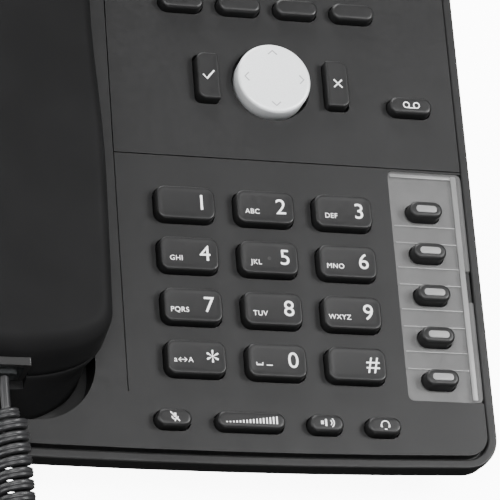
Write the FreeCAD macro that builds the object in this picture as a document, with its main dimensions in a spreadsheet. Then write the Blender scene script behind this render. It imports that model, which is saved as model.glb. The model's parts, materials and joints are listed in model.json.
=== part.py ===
import FreeCAD, Part
import math
import os
import Sketcher

# A desk IP phone, in millimetres.
#
# Everything on the phone is laid out in the plane of its sloping face: "across" runs to the right,
# "along" runs up the slope and "above" stands out of the face. The zero of that plane is the middle of
# the dial pad. place() turns the face frame by the tilt and puts each sub-part into the model's frame,
# whose origin is the middle of the footprint, on the desk.

doc = FreeCAD.newDocument("desk_ip_phone")

SIZES = (
    # stance
    ("face_tilt", 28.0, "slope of the face, degrees"),
    # case outline, in the plane of the face
    ("case_wide", 149.5, "outside of the rim, side to side"),
    ("case_long", 206.0, "outside of the rim, front to back"),
    ("case_corner", 8.0, "plan radius of the rim's corners"),
    ("dial_to_right", 52.5, "dial middle to the right edge"),
    ("dial_to_front", 43.5, "dial middle to the front edge"),
    ("front_bow", 1900.0, "radius of the slightly bowed front edge"),
    ("wall", 2.2, "wall of the housings"),
    ("weld", 0.5, "how far fused features reach into each other"),
    ("over", 10.0, "how far a cut runs past an open edge"),
    ("shell_in", 0.3, "lower housing set in from the rim"),
    ("collar_wall", 0.8, "wall of the shadow line's collar"),
    ("plate_thick", 2.5, "thickness of the face plate"),
    ("rim_band", 2.3, "width of the rim around the face"),
    ("rim_gap", 0.5, "dark gap between the face and the rim"),
    ("rim_drop", 1.0, "rim's top below the face"),
    ("rim_ledge", 3.5, "ledge under the face's edge"),
    ("rim_under", 0.9, "thickness of that ledge"),
    ("shadow_deep", 0.6, "shadow line between rim and lower housing"),
    ("shadow_inset", 1.2, "how far the shadow line is set in"),
    ("front_wall", 2.5, "upright band of the lower housing"),
    ("floor_drop", 30.0, "underside below the face"),
    ("floor_inset", 12.0, "how far the underside is set in on all sides"),
    ("ramp_top", 17.0, "where the resting facet starts, below the face"),
    ("ramp_inset", 6.5, "where it starts, behind the front edge"),
    # seams and the upper panel
    ("seam_along", 32.0, "seam between the dial field and the upper panel"),
    ("groove_across", 34.9, "groove left of the panel, from the dial middle"),
    ("groove_end", 27.1, "front end of the fine groove"),
    ("seam_gap", 0.25, "gap along a seam"),
    ("strip_half", 3.0, "half width of the strip that carries the panel's edge"),
    ("strip_deep", 1.4, "depth of that strip"),
    # dial keys
    ("dial_pitch_across", 19.0, "telephone keypad column pitch"),
    ("dial_pitch_along", 12.75, "row pitch"),
    ("dial_key_long", 14.0, ""),
    ("dial_key_wide", 8.3, ""),
    ("dial_key_corner", 2.2, ""),
    ("dial_key_high", 2.5, "above the face"),
    ("dial_key_bevel", 0.55, ""),
    ("key_gap", 0.35, "clearance around every key"),
    ("flange_gap", 0.3, "flange below the face plate"),
    ("flange_thick", 1.2, ""),
    ("flange_wide", 0.75, "flange beyond the key, each side"),
    # small keys
    ("soft_key_long", 10.5, ""),
    ("soft_key_wide", 4.4, ""),
    ("soft_pitch", 14.1, ""),
    ("soft_along", 72.0, ""),
    ("soft_across", 4.77, "middle of the soft-key row"),
    ("small_key_long", 8.1, ""),
    ("small_key_wide", 4.2, ""),
    ("small_key_high", 2.5, ""),
    ("line_key_high", 3.0, ""),
    ("pill_bevel", 0.9, ""),
    ("line_across", 39.3, ""),
    ("line_middle", 0.44, "middle of the five line keys, behind the dial middle"),
    ("line_pitch", 10.58, ""),
    ("lamp_long", 5.05, "light window on a line key"),
    ("lamp_wide", 1.7, ""),
    ("lamp_deep", 0.4, ""),
    ("bottom_row", 33.8, "bottom row, in front of the dial middle"),
    ("mute_across", 25.06, "left of the dial middle"),
    ("rocker_across", 7.16, "left of the dial middle"),
    ("rocker_long", 16.0, ""),
    ("speaker_across", 10.59, ""),
    ("headset_across", 24.32, ""),
    ("mail_across", 38.27, ""),
    ("mail_along", 47.93, ""),
    # navigation cluster
    ("nav_across", 4.54, ""),
    ("nav_along", 52.4, ""),
    ("nav_radius", 8.94, ""),
    ("nav_gap", 0.7, ""),
    ("nav_high", 3.2, ""),
    ("nav_foot", 2.0, "underside of the pad below the face"),
    ("nav_stem", 3.0, "radius of the pad's stem"),
    ("nav_stem_gap", 0.5, ""),
    ("nav_ring_over", 2.0, "rocker ring beyond the pad"),
    ("nav_ring_drop", 3.4, "top of the rocker ring below the face"),
    ("nav_ring_thick", 1.2, ""),
    ("side_key_wide", 5.5, ""),
    ("side_key_long", 12.0, ""),
    ("side_key_corner", 1.2, ""),
    ("side_key_off", 6.91, "from the pad's edge to the key's middle"),
    # line label
    ("label_left", 31.4, ""),
    ("label_front", 26.6, ""),
    ("label_deep", 1.0, ""),
    ("paper_thick", 0.25, ""),
    ("cover_thick", 0.7, ""),
    ("notch_long", 8.0, "finger notch in the label cover"),
    ("notch_deep", 1.2, ""),
    ("notch_along", 2.6, ""),
    # display
    ("lens_wide", 66.0, ""),
    ("lens_front", 84.0, ""),
    ("lens_to_back", 18.0, "from the lens to the back edge"),
    ("lens_thick", 1.2, ""),
    ("lens_corner", 3.0, ""),
    ("view_margin", 3.0, "lens margin around the visible screen"),
    ("lcd_thick", 3.6, ""),
    ("lamp_bar_long", 22.0, "message light"),
    ("lamp_bar_wide", 3.0, ""),
    ("lamp_bar_back", 8.5, "message light, from the back edge"),
    ("lamp_bar_side", 22.0, "message light, from the right edge"),
    ("fit_gap", 0.1, "gap around a glued or snapped piece"),
    # board, mat
    ("board_drop", 7.0, "top of the main board below the face"),
    ("board_thick", 1.6, ""),
    ("board_left", 29.0, ""),
    ("board_right", 43.5, ""),
    ("board_front", 37.0, ""),
    ("board_to_back", 14.0, "from the back edge"),
    ("mat_thick", 1.0, ""),
    ("mat_back", 75.5, ""),
    ("dome_radius", 1.8, ""),
    ("dome_high", 0.6, ""),
    # handset
    ("handset_margin", 8.75, "left edge of the case to the handset"),
    ("handset_wide", 47.0, ""),
    ("handset_foot_in", 2.0, "each side set in below the parting line"),
    ("handset_front", 10.0, "front edge of the case to the handset"),
    ("handset_back", 8.5, "back edge of the case to the handset"),
    ("handset_top", 16.0, "top of the handset's ends above the face"),
    ("handset_crown", 900.0, "radius of the long arch of its top"),
    ("handset_sink", 8.0, "underside of both ends below the face"),
    ("mouth_long", 42.0, "length of the mouth end"),
    ("ear_long", 40.0, "length of the ear end"),
    ("grip_rise", 4.5, "underside of the grip above the face"),
    ("end_slope", 9.0, "how far the end faces lean in"),
    ("throat", 9.0, "length of each slope to the grip"),
    ("handset_plan", 13.0, "plan radius of the handset's corners"),
    ("handset_edge", 4.0, "rounding of its upper edges"),
    ("handset_wall", 2.0, ""),
    ("parting", 6.5, "parting line above the face"),
    ("rest_gap", 0.4, "handset to the cradle"),
    ("cradle_gap", 1.3, "cradle wall around the handset's ends"),
    # hook, speaker, handset insides
    ("hook_radius", 3.0, ""),
    ("hook_from_back", 30.0, "hook plunger, from the handset's back end"),
    ("hook_travel", 3.5, ""),
    ("hook_stand", 0.1, "plunger above the cradle's floor at rest"),
    ("running_gap", 0.3, "moving plunger in its hole"),
    ("capsule_radius", 13.5, ""),
    ("capsule_thick", 7.0, ""),
    ("capsule_back", 6.0, "microphone, behind the middle of the mouth end"),
    ("cone_radius", 19.0, "loudspeaker"),
    ("cone_deep", 12.0, ""),
    ("slot_wide", 1.6, "loudspeaker slots"),
    ("slot_pitch", 4.0, ""),
    # telephone jacks and cord
    ("plug_wide", 7.7, "4P4C handset plug"),
    ("plug_high", 6.6, ""),
    ("plug_long", 13.0, ""),
    ("plug_gap", 0.1, ""),
    ("socket_wall", 1.2, ""),
    ("socket_height", 7.5, "plug's middle above the face, in the handset"),
    ("socket_back", 6.48, "socket's mouth, behind the handset's front end"),
    ("lead_radius", 1.6, ""),
    ("coil_radius", 4.5, ""),
    ("jack_along", 40.0, "handset jack in the left wall"),
    ("jack_drop", 17.0, "below the face"),
    ("jack_in", 6.5, "jack's mouth, inside the case's left edge"),
    ("jack_pitch", 18.0, "headset jack behind the handset jack"),
    ("net_wide", 11.8, "network jack opening"),
    ("net_high", 8.4, ""),
    ("net_deep", 12.0, ""),
    ("net_pitch", 19.0, ""),
    ("net_along", 128.0, ""),
    ("power_radius", 2.9, "power inlet bore"),
    ("power_body", 9.0, ""),
    ("power_off", 22.0, "power inlet, left of the first network jack"),
    # fasteners
    ("screw_radius", 1.5, ""),
    ("screw_long", 14.0, ""),
    ("head_radius", 2.75, ""),
    ("head_high", 2.0, ""),
    ("boss_radius", 3.0, ""),
    ("boss_deep", 12.0, "bosses reach this far below the face"),
    ("post_radius", 4.2, ""),
    ("thread_gap", 0.05, ""),
    ("thread_grip", 9.5, "thread inside a boss"),
    ("boss_side", 18.0, "left bosses, from the left edge"),
    ("boss_seam", 10.0, "front left boss, in front of the seam"),
    ("boss_ear", 16.0, "back left boss, in front of the ear well"),
    ("boss_back", 20.0, "back boss, from the back edge"),
    ("boss_column", 2.2, "right boss, beyond the middle between two key columns"),
    ("boss_lens", 1.2, "panel boss, clear of the lens"),
    # stand and feet
    ("hinge_along", 104.0, "stand hinge behind the dial middle"),
    ("hinge_drop", 3.4, "hinge axis below the underside"),
    ("pin_radius", 2.0, ""),
    ("pin_gap", 0.08, ""),
    ("stand_wide", 92.0, ""),
    ("stand_thick", 5.0, ""),
    ("stand_lean", 12.5, "stand leans back from the upright, degrees"),
    ("lug_wide", 7.0, ""),
    ("lug_radius", 4.5, ""),
    ("side_gap", 0.3, "stand between its lugs"),
    ("foot_radius", 6.0, ""),
    ("foot_stick", 2.0, "feet stand out by this"),
    ("foot_seat", 1.0, "feet are let in by this"),
    ("foot_across", 44.0, "front feet, each side of the case's middle"),
    ("foot_up", 11.0, "front feet behind the start of the resting facet"),
    # wall hooks
    ("keyhole_head", 4.5, "keyhole for a wall screw's head, radius"),
    ("keyhole_slot", 2.3, "half width of its slot"),
    ("keyhole_run", 9.0, ""),
    ("keyhole_spread", 40.0, ""),
    ("keyhole_along", 66.0, ""),
)

sheet = doc.addObject("Spreadsheet::Sheet", "Size")
for row, (alias, number, note) in enumerate(SIZES, start=1):
    sheet.set(f"A{row}", note)
    sheet.set(f"B{row}", str(number))
    sheet.setAlias(f"B{row}", alias)
doc.recompute()

# The middle of the footprint and the height of the feet, measured once everything is built.
origin = doc.addObject("Spreadsheet::Sheet", "Origin")
for row, alias in enumerate(("across", "back", "up"), start=1):
    origin.set(f"A{row}", "0")
    origin.setAlias(f"A{row}", alias)
doc.recompute()

# Places that several sub-parts share, worked out from the sheet.
RIGHT = "Size.dial_to_right"
LEFT = "(Size.dial_to_right - Size.case_wide)"
FRONT = "(-Size.dial_to_front)"
BACK = "(Size.case_long - Size.dial_to_front)"
CASE_ACROSS = "(Size.dial_to_right - Size.case_wide / 2)"
CASE_ALONG = "(Size.case_long / 2 - Size.dial_to_front)"
FACE_INSET = "(Size.rim_band + Size.rim_gap)"
RIM_FLOOR = "(Size.plate_thick + Size.rim_under)"
FLANGE_TOP = "(Size.plate_thick + Size.flange_gap)"
FLANGE_FOOT = "(Size.plate_thick + Size.flange_gap + Size.flange_thick)"
HANDSET_ACROSS = f"({LEFT} + Size.handset_margin + Size.handset_wide / 2)"
MOUTH = f"({FRONT} + Size.handset_front)"
EAR = f"({BACK} - Size.handset_back)"
CRADLE_FLOOR = "(Size.handset_sink + Size.rest_gap)"
BAND_TOP = f"({RIM_FLOOR} + Size.shadow_deep)"
BAND_FOOT = f"({BAND_TOP} + Size.front_wall)"
LABEL_WIDE = f"({RIGHT} - {FACE_INSET} - Size.label_left)"
LABEL_LONG = "(Size.seam_along - 0.5 + Size.label_front)"
LABEL_ALONG = "((Size.seam_along - 0.5 - Size.label_front) / 2)"
GRIP_MIDDLE = f"(({MOUTH} + Size.mouth_long + {EAR} - Size.ear_long) / 2)"
HANDSET_FOOT = "(Size.handset_wide - 2 * Size.handset_foot_in)"
HOOK_ALONG = f"({EAR} - Size.hook_from_back)"
PANEL_LEFT = "(-Size.groove_across)"
PANEL_WIDE = f"({RIGHT} - {FACE_INSET} + Size.groove_across)"
PANEL_LONG = f"({BACK} - {FACE_INSET} - Size.seam_along)"
LENS_ACROSS = f"({PANEL_LEFT} / 2 + ({RIGHT} - {FACE_INSET}) / 2)"
LENS_LONG = f"({BACK} - Size.lens_to_back - Size.lens_front)"
LENS_ALONG = f"(Size.lens_front + {LENS_LONG} / 2)"
LIGHT_ACROSS = f"({RIGHT} - Size.lamp_bar_side)"
LIGHT_ALONG = f"({BACK} - Size.lamp_bar_back)"
HEAD_DROP = "(Size.boss_deep + Size.thread_grip - Size.weld)"
HINGE_ABOVE = "(-Size.floor_drop - Size.hinge_drop)"
POWER_ACROSS = "(Size.nav_across - Size.power_off)"
JACK_LONG = "(Size.plug_wide + 2 * Size.plug_gap + 2 * Size.socket_wall)"
JACK_HIGH = "(Size.plug_high + 2 * Size.plug_gap + 2 * Size.socket_wall)"
HOOK_STAND = "Size.hook_stand"
END_LEAN = ("(Size.end_slope * (Size.parting + Size.handset_sink)"
            " / (Size.handset_top + Size.handset_sink))")
SOCKET_LONG = "(Size.plug_long + Size.socket_wall)"
SOCKET_MOUTH = f"({MOUTH} + Size.socket_back)"
MOUTH_CAPSULE = f"({MOUTH} + Size.mouth_long / 2 + Size.capsule_back)"
EAR_CAPSULE = f"({EAR} - Size.ear_long / 2 - 1)"
PLUG_ROOM = ("Size.plug_wide + 2 * Size.plug_gap", "Size.plug_high + 2 * Size.plug_gap")
JACK_MOUTH = f"({LEFT} + Size.jack_in)"


# ---------------------------------------------------------------------------------------------------
# small tools of this script


def value(expression):
    """The present value of an expression over the sheet."""
    return float(sheet.evalExpression(expression))


def plane_of(body, role):
    return next(item for item in body.Origin.OriginFeatures if item.Role == role)


def new_body(label):
    body = doc.addObject("PartDesign::Body", label)
    body.Label = label
    return body


def new_sketch(body, name, plane, across="0", along="0", above="0"):
    """An empty sketch on one of the body's own planes, moved within and off that plane."""
    sketch = body.newObject("Sketcher::SketchObject", name)
    sketch.AttachmentSupport = [(plane_of(body, plane), "")]
    sketch.MapMode = "FlatFace"
    for axis, expression in zip("xyz", (across, along, above)):
        sketch.setExpression(f"AttachmentOffset.Base.{axis}", expression)
    return sketch


def fix(sketch, name, expression, kind, *where):
    """One named dimension of a sketch, bound to an expression."""
    index = sketch.addConstraint(Sketcher.Constraint(kind, *where, value(expression)))
    sketch.renameConstraint(index, name)
    sketch.setExpression(f"Constraints.{name}", expression)


def rounded_rectangle(body, name, long, wide, corner, plane="XY_Plane", bow=None, **offset):
    """A rectangle with round corners about the sketch's zero. bow is the radius of an outward bowed
    front side, or None for a straight one."""
    sketch = new_sketch(body, name, plane, **offset)
    half_x, half_y, radius = value(long) / 2, value(wide) / 2, value(corner)
    in_x, in_y = half_x - radius, half_y - radius
    point = FreeCAD.Vector
    normal = point(0, 0, 1)

    def corner_arc(x, y, start):
        circle = Part.Circle(point(x, y, 0), normal, radius)
        return Part.ArcOfCircle(circle, math.radians(start), math.radians(start + 90))

    front = Part.LineSegment(point(-in_x, -half_y, 0), point(in_x, -half_y, 0))
    if bow:
        bow_radius = value(bow)
        swing = math.asin(in_x / bow_radius)
        circle = Part.Circle(point(0, bow_radius - half_y, 0), normal, bow_radius)
        front = Part.ArcOfCircle(circle, -math.pi / 2 - swing, -math.pi / 2 + swing)
    sketch.addGeometry([
        front,
        corner_arc(in_x, -in_y, -90),
        Part.LineSegment(point(half_x, -in_y, 0), point(half_x, in_y, 0)),
        corner_arc(in_x, in_y, 0),
        Part.LineSegment(point(in_x, half_y, 0), point(-in_x, half_y, 0)),
        corner_arc(-in_x, in_y, 90),
        Part.LineSegment(point(-half_x, in_y, 0), point(-half_x, -in_y, 0)),
        corner_arc(-in_x, -in_y, 180),
    ], False)
    joins = [Sketcher.Constraint("Tangent", side, 2, (side + 1) % 8, 1) for side in range(8)]
    joins += [Sketcher.Constraint("Equal", 1, arc) for arc in (3, 5, 7)]
    joins += [
        Sketcher.Constraint("Vertical", 2),
        Sketcher.Constraint("Horizontal", 4),
        Sketcher.Constraint("Vertical", 6),
    ]
    sketch.addConstraint(joins)
    fix(sketch, "corner", corner, "Radius", 1)
    fix(sketch, "right", f"({long}) / 2", "DistanceX", -1, 1, 2, 1)
    fix(sketch, "left", f"({long}) / 2", "DistanceX", 6, 1, -1, 1)
    fix(sketch, "back", f"({wide}) / 2", "DistanceY", -1, 1, 4, 1)
    if bow:
        fix(sketch, "bow", bow, "Radius", 0)
        fix(sketch, "front", f"({bow}) - ({wide}) / 2", "DistanceY", -1, 1, 0, 3)
    else:
        sketch.addConstraint(Sketcher.Constraint("Horizontal", 0))
        fix(sketch, "front", f"({wide}) / 2", "DistanceY", 0, 1, -1, 1)
    return sketch


def case_outline(body, name, inset, above):
    """The outline of the case, set in by a distance, at a height. The front side is slightly bowed."""
    return rounded_rectangle(
        body, name,
        long=f"Size.case_wide - 2 * ({inset})",
        wide=f"Size.case_long - 2 * ({inset})",
        corner=f"max(Size.case_corner - ({inset}); 1.2)",
        bow=f"Size.front_bow - ({inset})",
        across=CASE_ACROSS, along=CASE_ALONG, above=above,
    )


def circles(body, name, radius, centres, plane="XY_Plane", above="0"):
    """A sketch of equal circles; each centre is a pair of expressions."""
    sketch = new_sketch(body, name, plane, above=above)
    for number, (across, along) in enumerate(centres):
        centre = FreeCAD.Vector(value(across), value(along), 0)
        sketch.addGeometry(Part.Circle(centre, FreeCAD.Vector(0, 0, 1), value(radius)), False)
        fix(sketch, f"across{number}", across, "DistanceX", -1, 1, number, 3)
        fix(sketch, f"along{number}", along, "DistanceY", -1, 1, number, 3)
        fix(sketch, f"radius{number}", radius, "Radius", number)
    return sketch


def profile(body, name, corners, plane="YZ_Plane", arches=None, **offset):
    """A closed outline through corners, each a pair of expressions, taken clockwise. arches gives the
    radius of a side that is an arc bulging outwards, by the number of its first corner."""
    sketch = new_sketch(body, name, plane, **offset)
    places = [FreeCAD.Vector(value(x), value(y), 0) for x, y in corners]
    count = len(places)
    arches = arches or {}
    for side in range(count):
        start, end = places[side], places[(side + 1) % count]
        edge = Part.LineSegment(start, end)
        if side in arches:
            chord = end - start
            sag = value(arches[side]) - math.sqrt(value(arches[side]) ** 2 - chord.Length ** 2 / 4)
            outward = FreeCAD.Vector(-chord.y, chord.x, 0).normalize()
            edge = Part.Arc(end, (start + end) / 2 + outward * sag, start)
        sketch.addGeometry(edge, False)
    # An arc runs anticlockwise inside a sketch, so an outline drawn clockwise meets it end first.
    first = {side: 2 if side in arches else 1 for side in range(count)}
    last = {side: 1 if side in arches else 2 for side in range(count)}
    for side in range(count):
        following = (side + 1) % count
        sketch.addConstraint(
            Sketcher.Constraint("Coincident", side, last[side], following, first[following]))
    for side, (x, y) in enumerate(corners):
        fix(sketch, f"x{side}", x, "DistanceX", -1, 1, side, first[side])
        fix(sketch, f"y{side}", y, "DistanceY", -1, 1, side, first[side])
    for side, radius in arches.items():
        fix(sketch, f"arch{side}", radius, "Radius", side)
    return sketch


def pad(body, sketch, length, reverse=False, middle=False):
    feature = body.newObject("PartDesign::Pad", f"{sketch.Name}_pad")
    feature.Profile = sketch
    feature.setExpression("Length", length)
    feature.Reversed = reverse
    feature.SideType = "Symmetric" if middle else "One side"
    return feature


def pocket(body, sketch, length=None, reverse=False, middle=False):
    """Cuts against the sketch's normal, or along it with reverse; without a length, through all."""
    feature = body.newObject("PartDesign::Pocket", f"{sketch.Name}_pocket")
    feature.Profile = sketch
    if length:
        feature.setExpression("Length", length)
    else:
        feature.Type = "ThroughAll"
    feature.Reversed = reverse
    feature.SideType = "Symmetric" if middle else "One side"
    return feature


def soften(body, kind, size, wanted):
    """A Fillet or Chamfer of the body's edges for which wanted(edge) is true."""
    doc.recompute()
    base = body.Tip
    names = [f"Edge{n}" for n, edge in enumerate(base.Shape.Edges, start=1) if wanted(edge)]
    feature = body.newObject(f"PartDesign::{kind}", f"{body.Name}_{kind}")
    feature.Base = (base, names)
    feature.setExpression("Radius" if kind == "Fillet" else "Size", size)
    return feature


def at_height(height, tolerance=0.01):
    """Picks the edges that lie wholly at one height of the body's own frame."""
    def wanted(edge):
        box = edge.BoundBox
        return abs(box.ZMin - height) < tolerance and abs(box.ZMax - height) < tolerance
    return wanted


FINISHED = []
CORD = []


def place(item, across="0", along="0", above="0", lean="0"):
    """Stands a sub-part in the model's frame, from its place in the face frame. lean turns it further,
    about the across axis."""
    tilt = "Size.face_tilt"
    item.Placement.Rotation.Axis = FreeCAD.Vector(1, 0, 0)
    item.setExpression("Placement.Base.x", f"{across} - Origin.across")
    item.setExpression(
        "Placement.Base.y",
        f"({along}) * cos({tilt} * 1 deg) - ({above}) * sin({tilt} * 1 deg) - Origin.back")
    item.setExpression(
        "Placement.Base.z",
        f"({along}) * sin({tilt} * 1 deg) + ({above}) * cos({tilt} * 1 deg) - Origin.up")
    item.setExpression("Placement.Rotation.Angle", f"{tilt} + {lean}")
    FINISHED.append(item)


def joined(kind, label, base, tool):
    """A Part boolean: Cut, Common or Fuse."""
    result = doc.addObject(f"Part::{kind}", label)
    result.Label = label
    result.Base = base
    result.Tool = tool
    return result


def body_from(label, base):
    """A body whose first feature is another object's shape."""
    body = new_body(label)
    body.BaseFeature = base
    return body


# ---------------------------------------------------------------------------------------------------
# keys: one table serves the keys themselves, their openings and the domes under them

# kind: (long, wide, corner, high, bevel)
KEY_KINDS = {
    "dial": ("Size.dial_key_long", "Size.dial_key_wide", "Size.dial_key_corner",
             "Size.dial_key_high", "Size.dial_key_bevel"),
    "soft": ("Size.soft_key_long", "Size.soft_key_wide", "(Size.soft_key_wide / 2 - 0.05)",
             "Size.small_key_high", "Size.pill_bevel"),
    "small": ("Size.small_key_long", "Size.small_key_wide", "(Size.small_key_wide / 2 - 0.05)",
              "Size.small_key_high", "Size.pill_bevel"),
    "line": ("Size.small_key_long", "Size.small_key_wide", "(Size.small_key_wide / 2 - 0.05)",
             "Size.line_key_high", "Size.pill_bevel"),
    "rocker": ("Size.rocker_long", "Size.small_key_wide", "(Size.small_key_wide / 2 - 0.05)",
               "Size.small_key_high", "Size.pill_bevel"),
    "side": ("Size.side_key_wide", "Size.side_key_long", "Size.side_key_corner",
             "Size.small_key_high", "Size.dial_key_bevel"),
}


def key_places():
    """Every key: label, kind, across, along."""
    places = []
    names = (("1", "2", "3"), ("4", "5", "6"), ("7", "8", "9"), ("star", "0", "hash"))
    for row, labels in enumerate(names):
        for column, label in enumerate(labels):
            across = f"({column - 1} * Size.dial_pitch_across)"
            along = f"({1.5 - row} * Size.dial_pitch_along)"
            places.append((f"key_{label}", "dial", across, along))
    for number in range(4):
        across = f"(Size.soft_across + {number - 1.5} * Size.soft_pitch)"
        places.append((f"soft_key_{number + 1}", "soft", across, "Size.soft_along"))
    beside = "(Size.nav_radius + Size.side_key_off)"
    places.append(("ok_key", "side", f"(Size.nav_across - {beside})", "Size.nav_along"))
    places.append(("cancel_key", "side", f"(Size.nav_across + {beside})", "Size.nav_along"))
    places.append(("voicemail_key", "soft", "Size.mail_across", "Size.mail_along"))
    for number in range(5):
        along = f"({2 - number} * Size.line_pitch - Size.line_middle)"
        places.append((f"line_key_{number + 1}", "line", "Size.line_across", along))
    bottom = "(-Size.bottom_row)"
    places.append(("mute_key", "small", "(-Size.mute_across)", bottom))
    places.append(("volume_rocker", "rocker", "(-Size.rocker_across)", bottom))
    places.append(("speaker_key", "small", "Size.speaker_across", bottom))
    places.append(("headset_key", "small", "Size.headset_across", bottom))
    return places


KEYS = key_places()
PANEL_KINDS = ("soft", "side")


def build_key(label, kind, across, along):
    """A cap that stands out of its opening, on a flange that keeps it in."""
    long, wide, corner, high, bevel = KEY_KINDS[kind]
    body = new_body(label)
    flange = rounded_rectangle(
        body, f"{label}_flange", f"{long} + 2 * Size.flange_wide", f"{wide} + 2 * Size.flange_wide",
        f"{corner} + Size.flange_wide / 2", above=f"-{FLANGE_FOOT}")
    pad(body, flange, "Size.flange_thick")
    cap = rounded_rectangle(body, f"{label}_cap", long, wide, corner, above=f"-{FLANGE_FOOT}")
    pad(body, cap, f"{FLANGE_FOOT} + {high}")
    kind_of_edge = "Chamfer" if kind in ("dial", "side") else "Fillet"
    soften(body, kind_of_edge, bevel, at_height(value(high)))
    if kind == "line":
        window = rounded_rectangle(
            body, f"{label}_window", "Size.lamp_long", "Size.lamp_wide", "Size.lamp_wide / 2 - 0.05",
            above=high)
        pocket(body, window, "Size.lamp_deep")
    place(body, across, along)
    return body


def cut_key_openings(body, kinds, top="0"):
    for label, kind, across, along in KEYS:
        if kind not in kinds:
            continue
        long, wide, corner, high, bevel = KEY_KINDS[kind]
        opening = rounded_rectangle(
            body, f"{label}_hole", f"{long} + 2 * Size.key_gap", f"{wide} + 2 * Size.key_gap",
            f"{corner} + Size.key_gap", across=across, along=along, above=top)
        pocket(body, opening)


# ---------------------------------------------------------------------------------------------------
# casing

PANEL_BOSS = (LENS_ACROSS, "(Size.lens_front - Size.boss_radius - Size.boss_lens)")
HOUSING_BOSSES = (
    (f"({LEFT} + Size.boss_side)", "(Size.seam_along - Size.boss_seam)"),
    (f"({LEFT} + Size.boss_side)", f"({EAR} - Size.ear_long - Size.boss_ear)"),
    ("(Size.dial_pitch_across * 1.5 + Size.boss_column)", "(-Size.dial_pitch_along / 2)"),
    (PANEL_LEFT, f"({BACK} - Size.boss_back)"),
    (PANEL_LEFT, "(-Size.dial_pitch_along / 2)"),
)
SCREWS = HOUSING_BOSSES + (PANEL_BOSS,)


def add_boss(body, name, centres, top):
    """Bosses under a plate, each with a bore for its screw."""
    bosses = circles(body, f"{name}_bosses", "Size.boss_radius", centres, above="-Size.boss_deep")
    pad(body, bosses, f"Size.boss_deep - {top}")
    bores = circles(
        body, f"{name}_bores", "Size.screw_radius + Size.thread_gap", centres,
        above=f"-Size.boss_deep")
    pocket(body, bores, "Size.thread_grip", reverse=True)


def cradle_wells():
    """The two ends of the cradle: name, front, length and plan radius of each outline. Each end is a
    well with the handset's round corners and a squarer throat towards the grip."""
    throat = "(Size.throat * Size.handset_sink / (Size.handset_sink + Size.grip_rise))"
    round_corner = "(Size.handset_plan + Size.cradle_gap)"
    half_mouth, half_ear = "(Size.mouth_long / 2)", "(Size.ear_long / 2)"
    return (
        ("mouth_well", MOUTH, "Size.mouth_long", round_corner),
        ("mouth_throat", f"({MOUTH} + {half_mouth})", f"({half_mouth} + {throat})", "3"),
        ("ear_well", f"({EAR} - Size.ear_long)", "Size.ear_long", round_corner),
        ("ear_throat", f"({EAR} - Size.ear_long - {throat})", f"({half_ear} + {throat})", "3"),
    )


def cradle_outline(body, well, grow, top):
    """One of those outlines with the cradle's gap around it, grown by a wall, at a height."""
    name, front, long, corner = well
    return rounded_rectangle(
        body, f"{name}_{'tub' if grow != '0' else 'hollow'}",
        long=f"{HANDSET_FOOT} + 2 * Size.cradle_gap + 2 * ({grow})",
        wide=f"{long} + 2 * Size.cradle_gap + 2 * ({grow})",
        corner=f"{corner} + {grow}",
        across=HANDSET_ACROSS, along=f"{front} + {long} / 2", above=top,
    )


def build_upper_housing():
    """The face plate with the dial field, and the cradle that the handset lies in."""
    body = new_body("upper_housing")
    outline = case_outline(body, "face_outline", FACE_INSET, "-Size.plate_thick")
    pad(body, outline, "Size.plate_thick")

    for well in cradle_wells():
        tub = cradle_outline(body, well, "Size.wall / 2", f"-{CRADLE_FLOOR} - Size.wall")
        pad(body, tub, f"{CRADLE_FLOOR} + Size.wall - Size.weld")
    for well in cradle_wells():
        pocket(body, cradle_outline(body, well, "0", "0"), CRADLE_FLOOR)

    strip = rounded_rectangle(
        body, "panel_strip_seam", "Size.groove_across + 45", "2 * Size.strip_half", "1",
        across="(45 - Size.groove_across) / 2", along="Size.seam_along",
        above="-Size.plate_thick - Size.strip_deep")
    pad(body, strip, "Size.plate_thick + Size.strip_deep - Size.weld")
    strip = rounded_rectangle(
        body, "panel_strip_left", "2 * Size.strip_half", f"{PANEL_LONG} - 8", "1",
        across=PANEL_LEFT, along=f"Size.seam_along + ({PANEL_LONG} - 8) / 2",
        above="-Size.plate_thick - Size.strip_deep")
    pad(body, strip, "Size.plate_thick + Size.strip_deep - Size.weld")
    add_boss(body, "housing", HOUSING_BOSSES, "Size.weld")

    window = rounded_rectangle(
        body, "panel_window", f"{PANEL_WIDE} + Size.over", f"{PANEL_LONG} + Size.over", "0.3",
        across=f"{PANEL_LEFT} + ({PANEL_WIDE} + Size.over) / 2",
        along=f"Size.seam_along + ({PANEL_LONG} + Size.over) / 2")
    pocket(body, window, "Size.plate_thick")

    groove = rounded_rectangle(
        body, "fine_groove", "Size.seam_gap", "Size.groove_end + Size.seam_along", "0.1",
        across=f"{PANEL_LEFT} + Size.seam_gap / 2", along="(Size.seam_along - Size.groove_end) / 2")
    pocket(body, groove, "Size.seam_gap * 2")

    label = rounded_rectangle(
        body, "label_recess", f"{LABEL_WIDE} + Size.over", LABEL_LONG, "1.5",
        across=f"Size.label_left + ({LABEL_WIDE} + Size.over) / 2", along=LABEL_ALONG)
    pocket(body, label, "Size.label_deep")
    cut_key_openings(body, ("dial", "line", "small", "rocker"))

    for number in range(-4, 5):
        slot = rounded_rectangle(
            body, f"speaker_slot{number}", "Size.cone_radius * 1.5", "Size.slot_wide",
            "Size.slot_wide / 2 - 0.05", across=HANDSET_ACROSS,
            along=f"{GRIP_MIDDLE} + {number} * Size.slot_pitch")
        pocket(body, slot)
    hook = circles(body, "hook_hole", "Size.hook_radius + Size.running_gap",
                   [(HANDSET_ACROSS, HOOK_ALONG)])
    pocket(body, hook)
    place(body)


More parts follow.
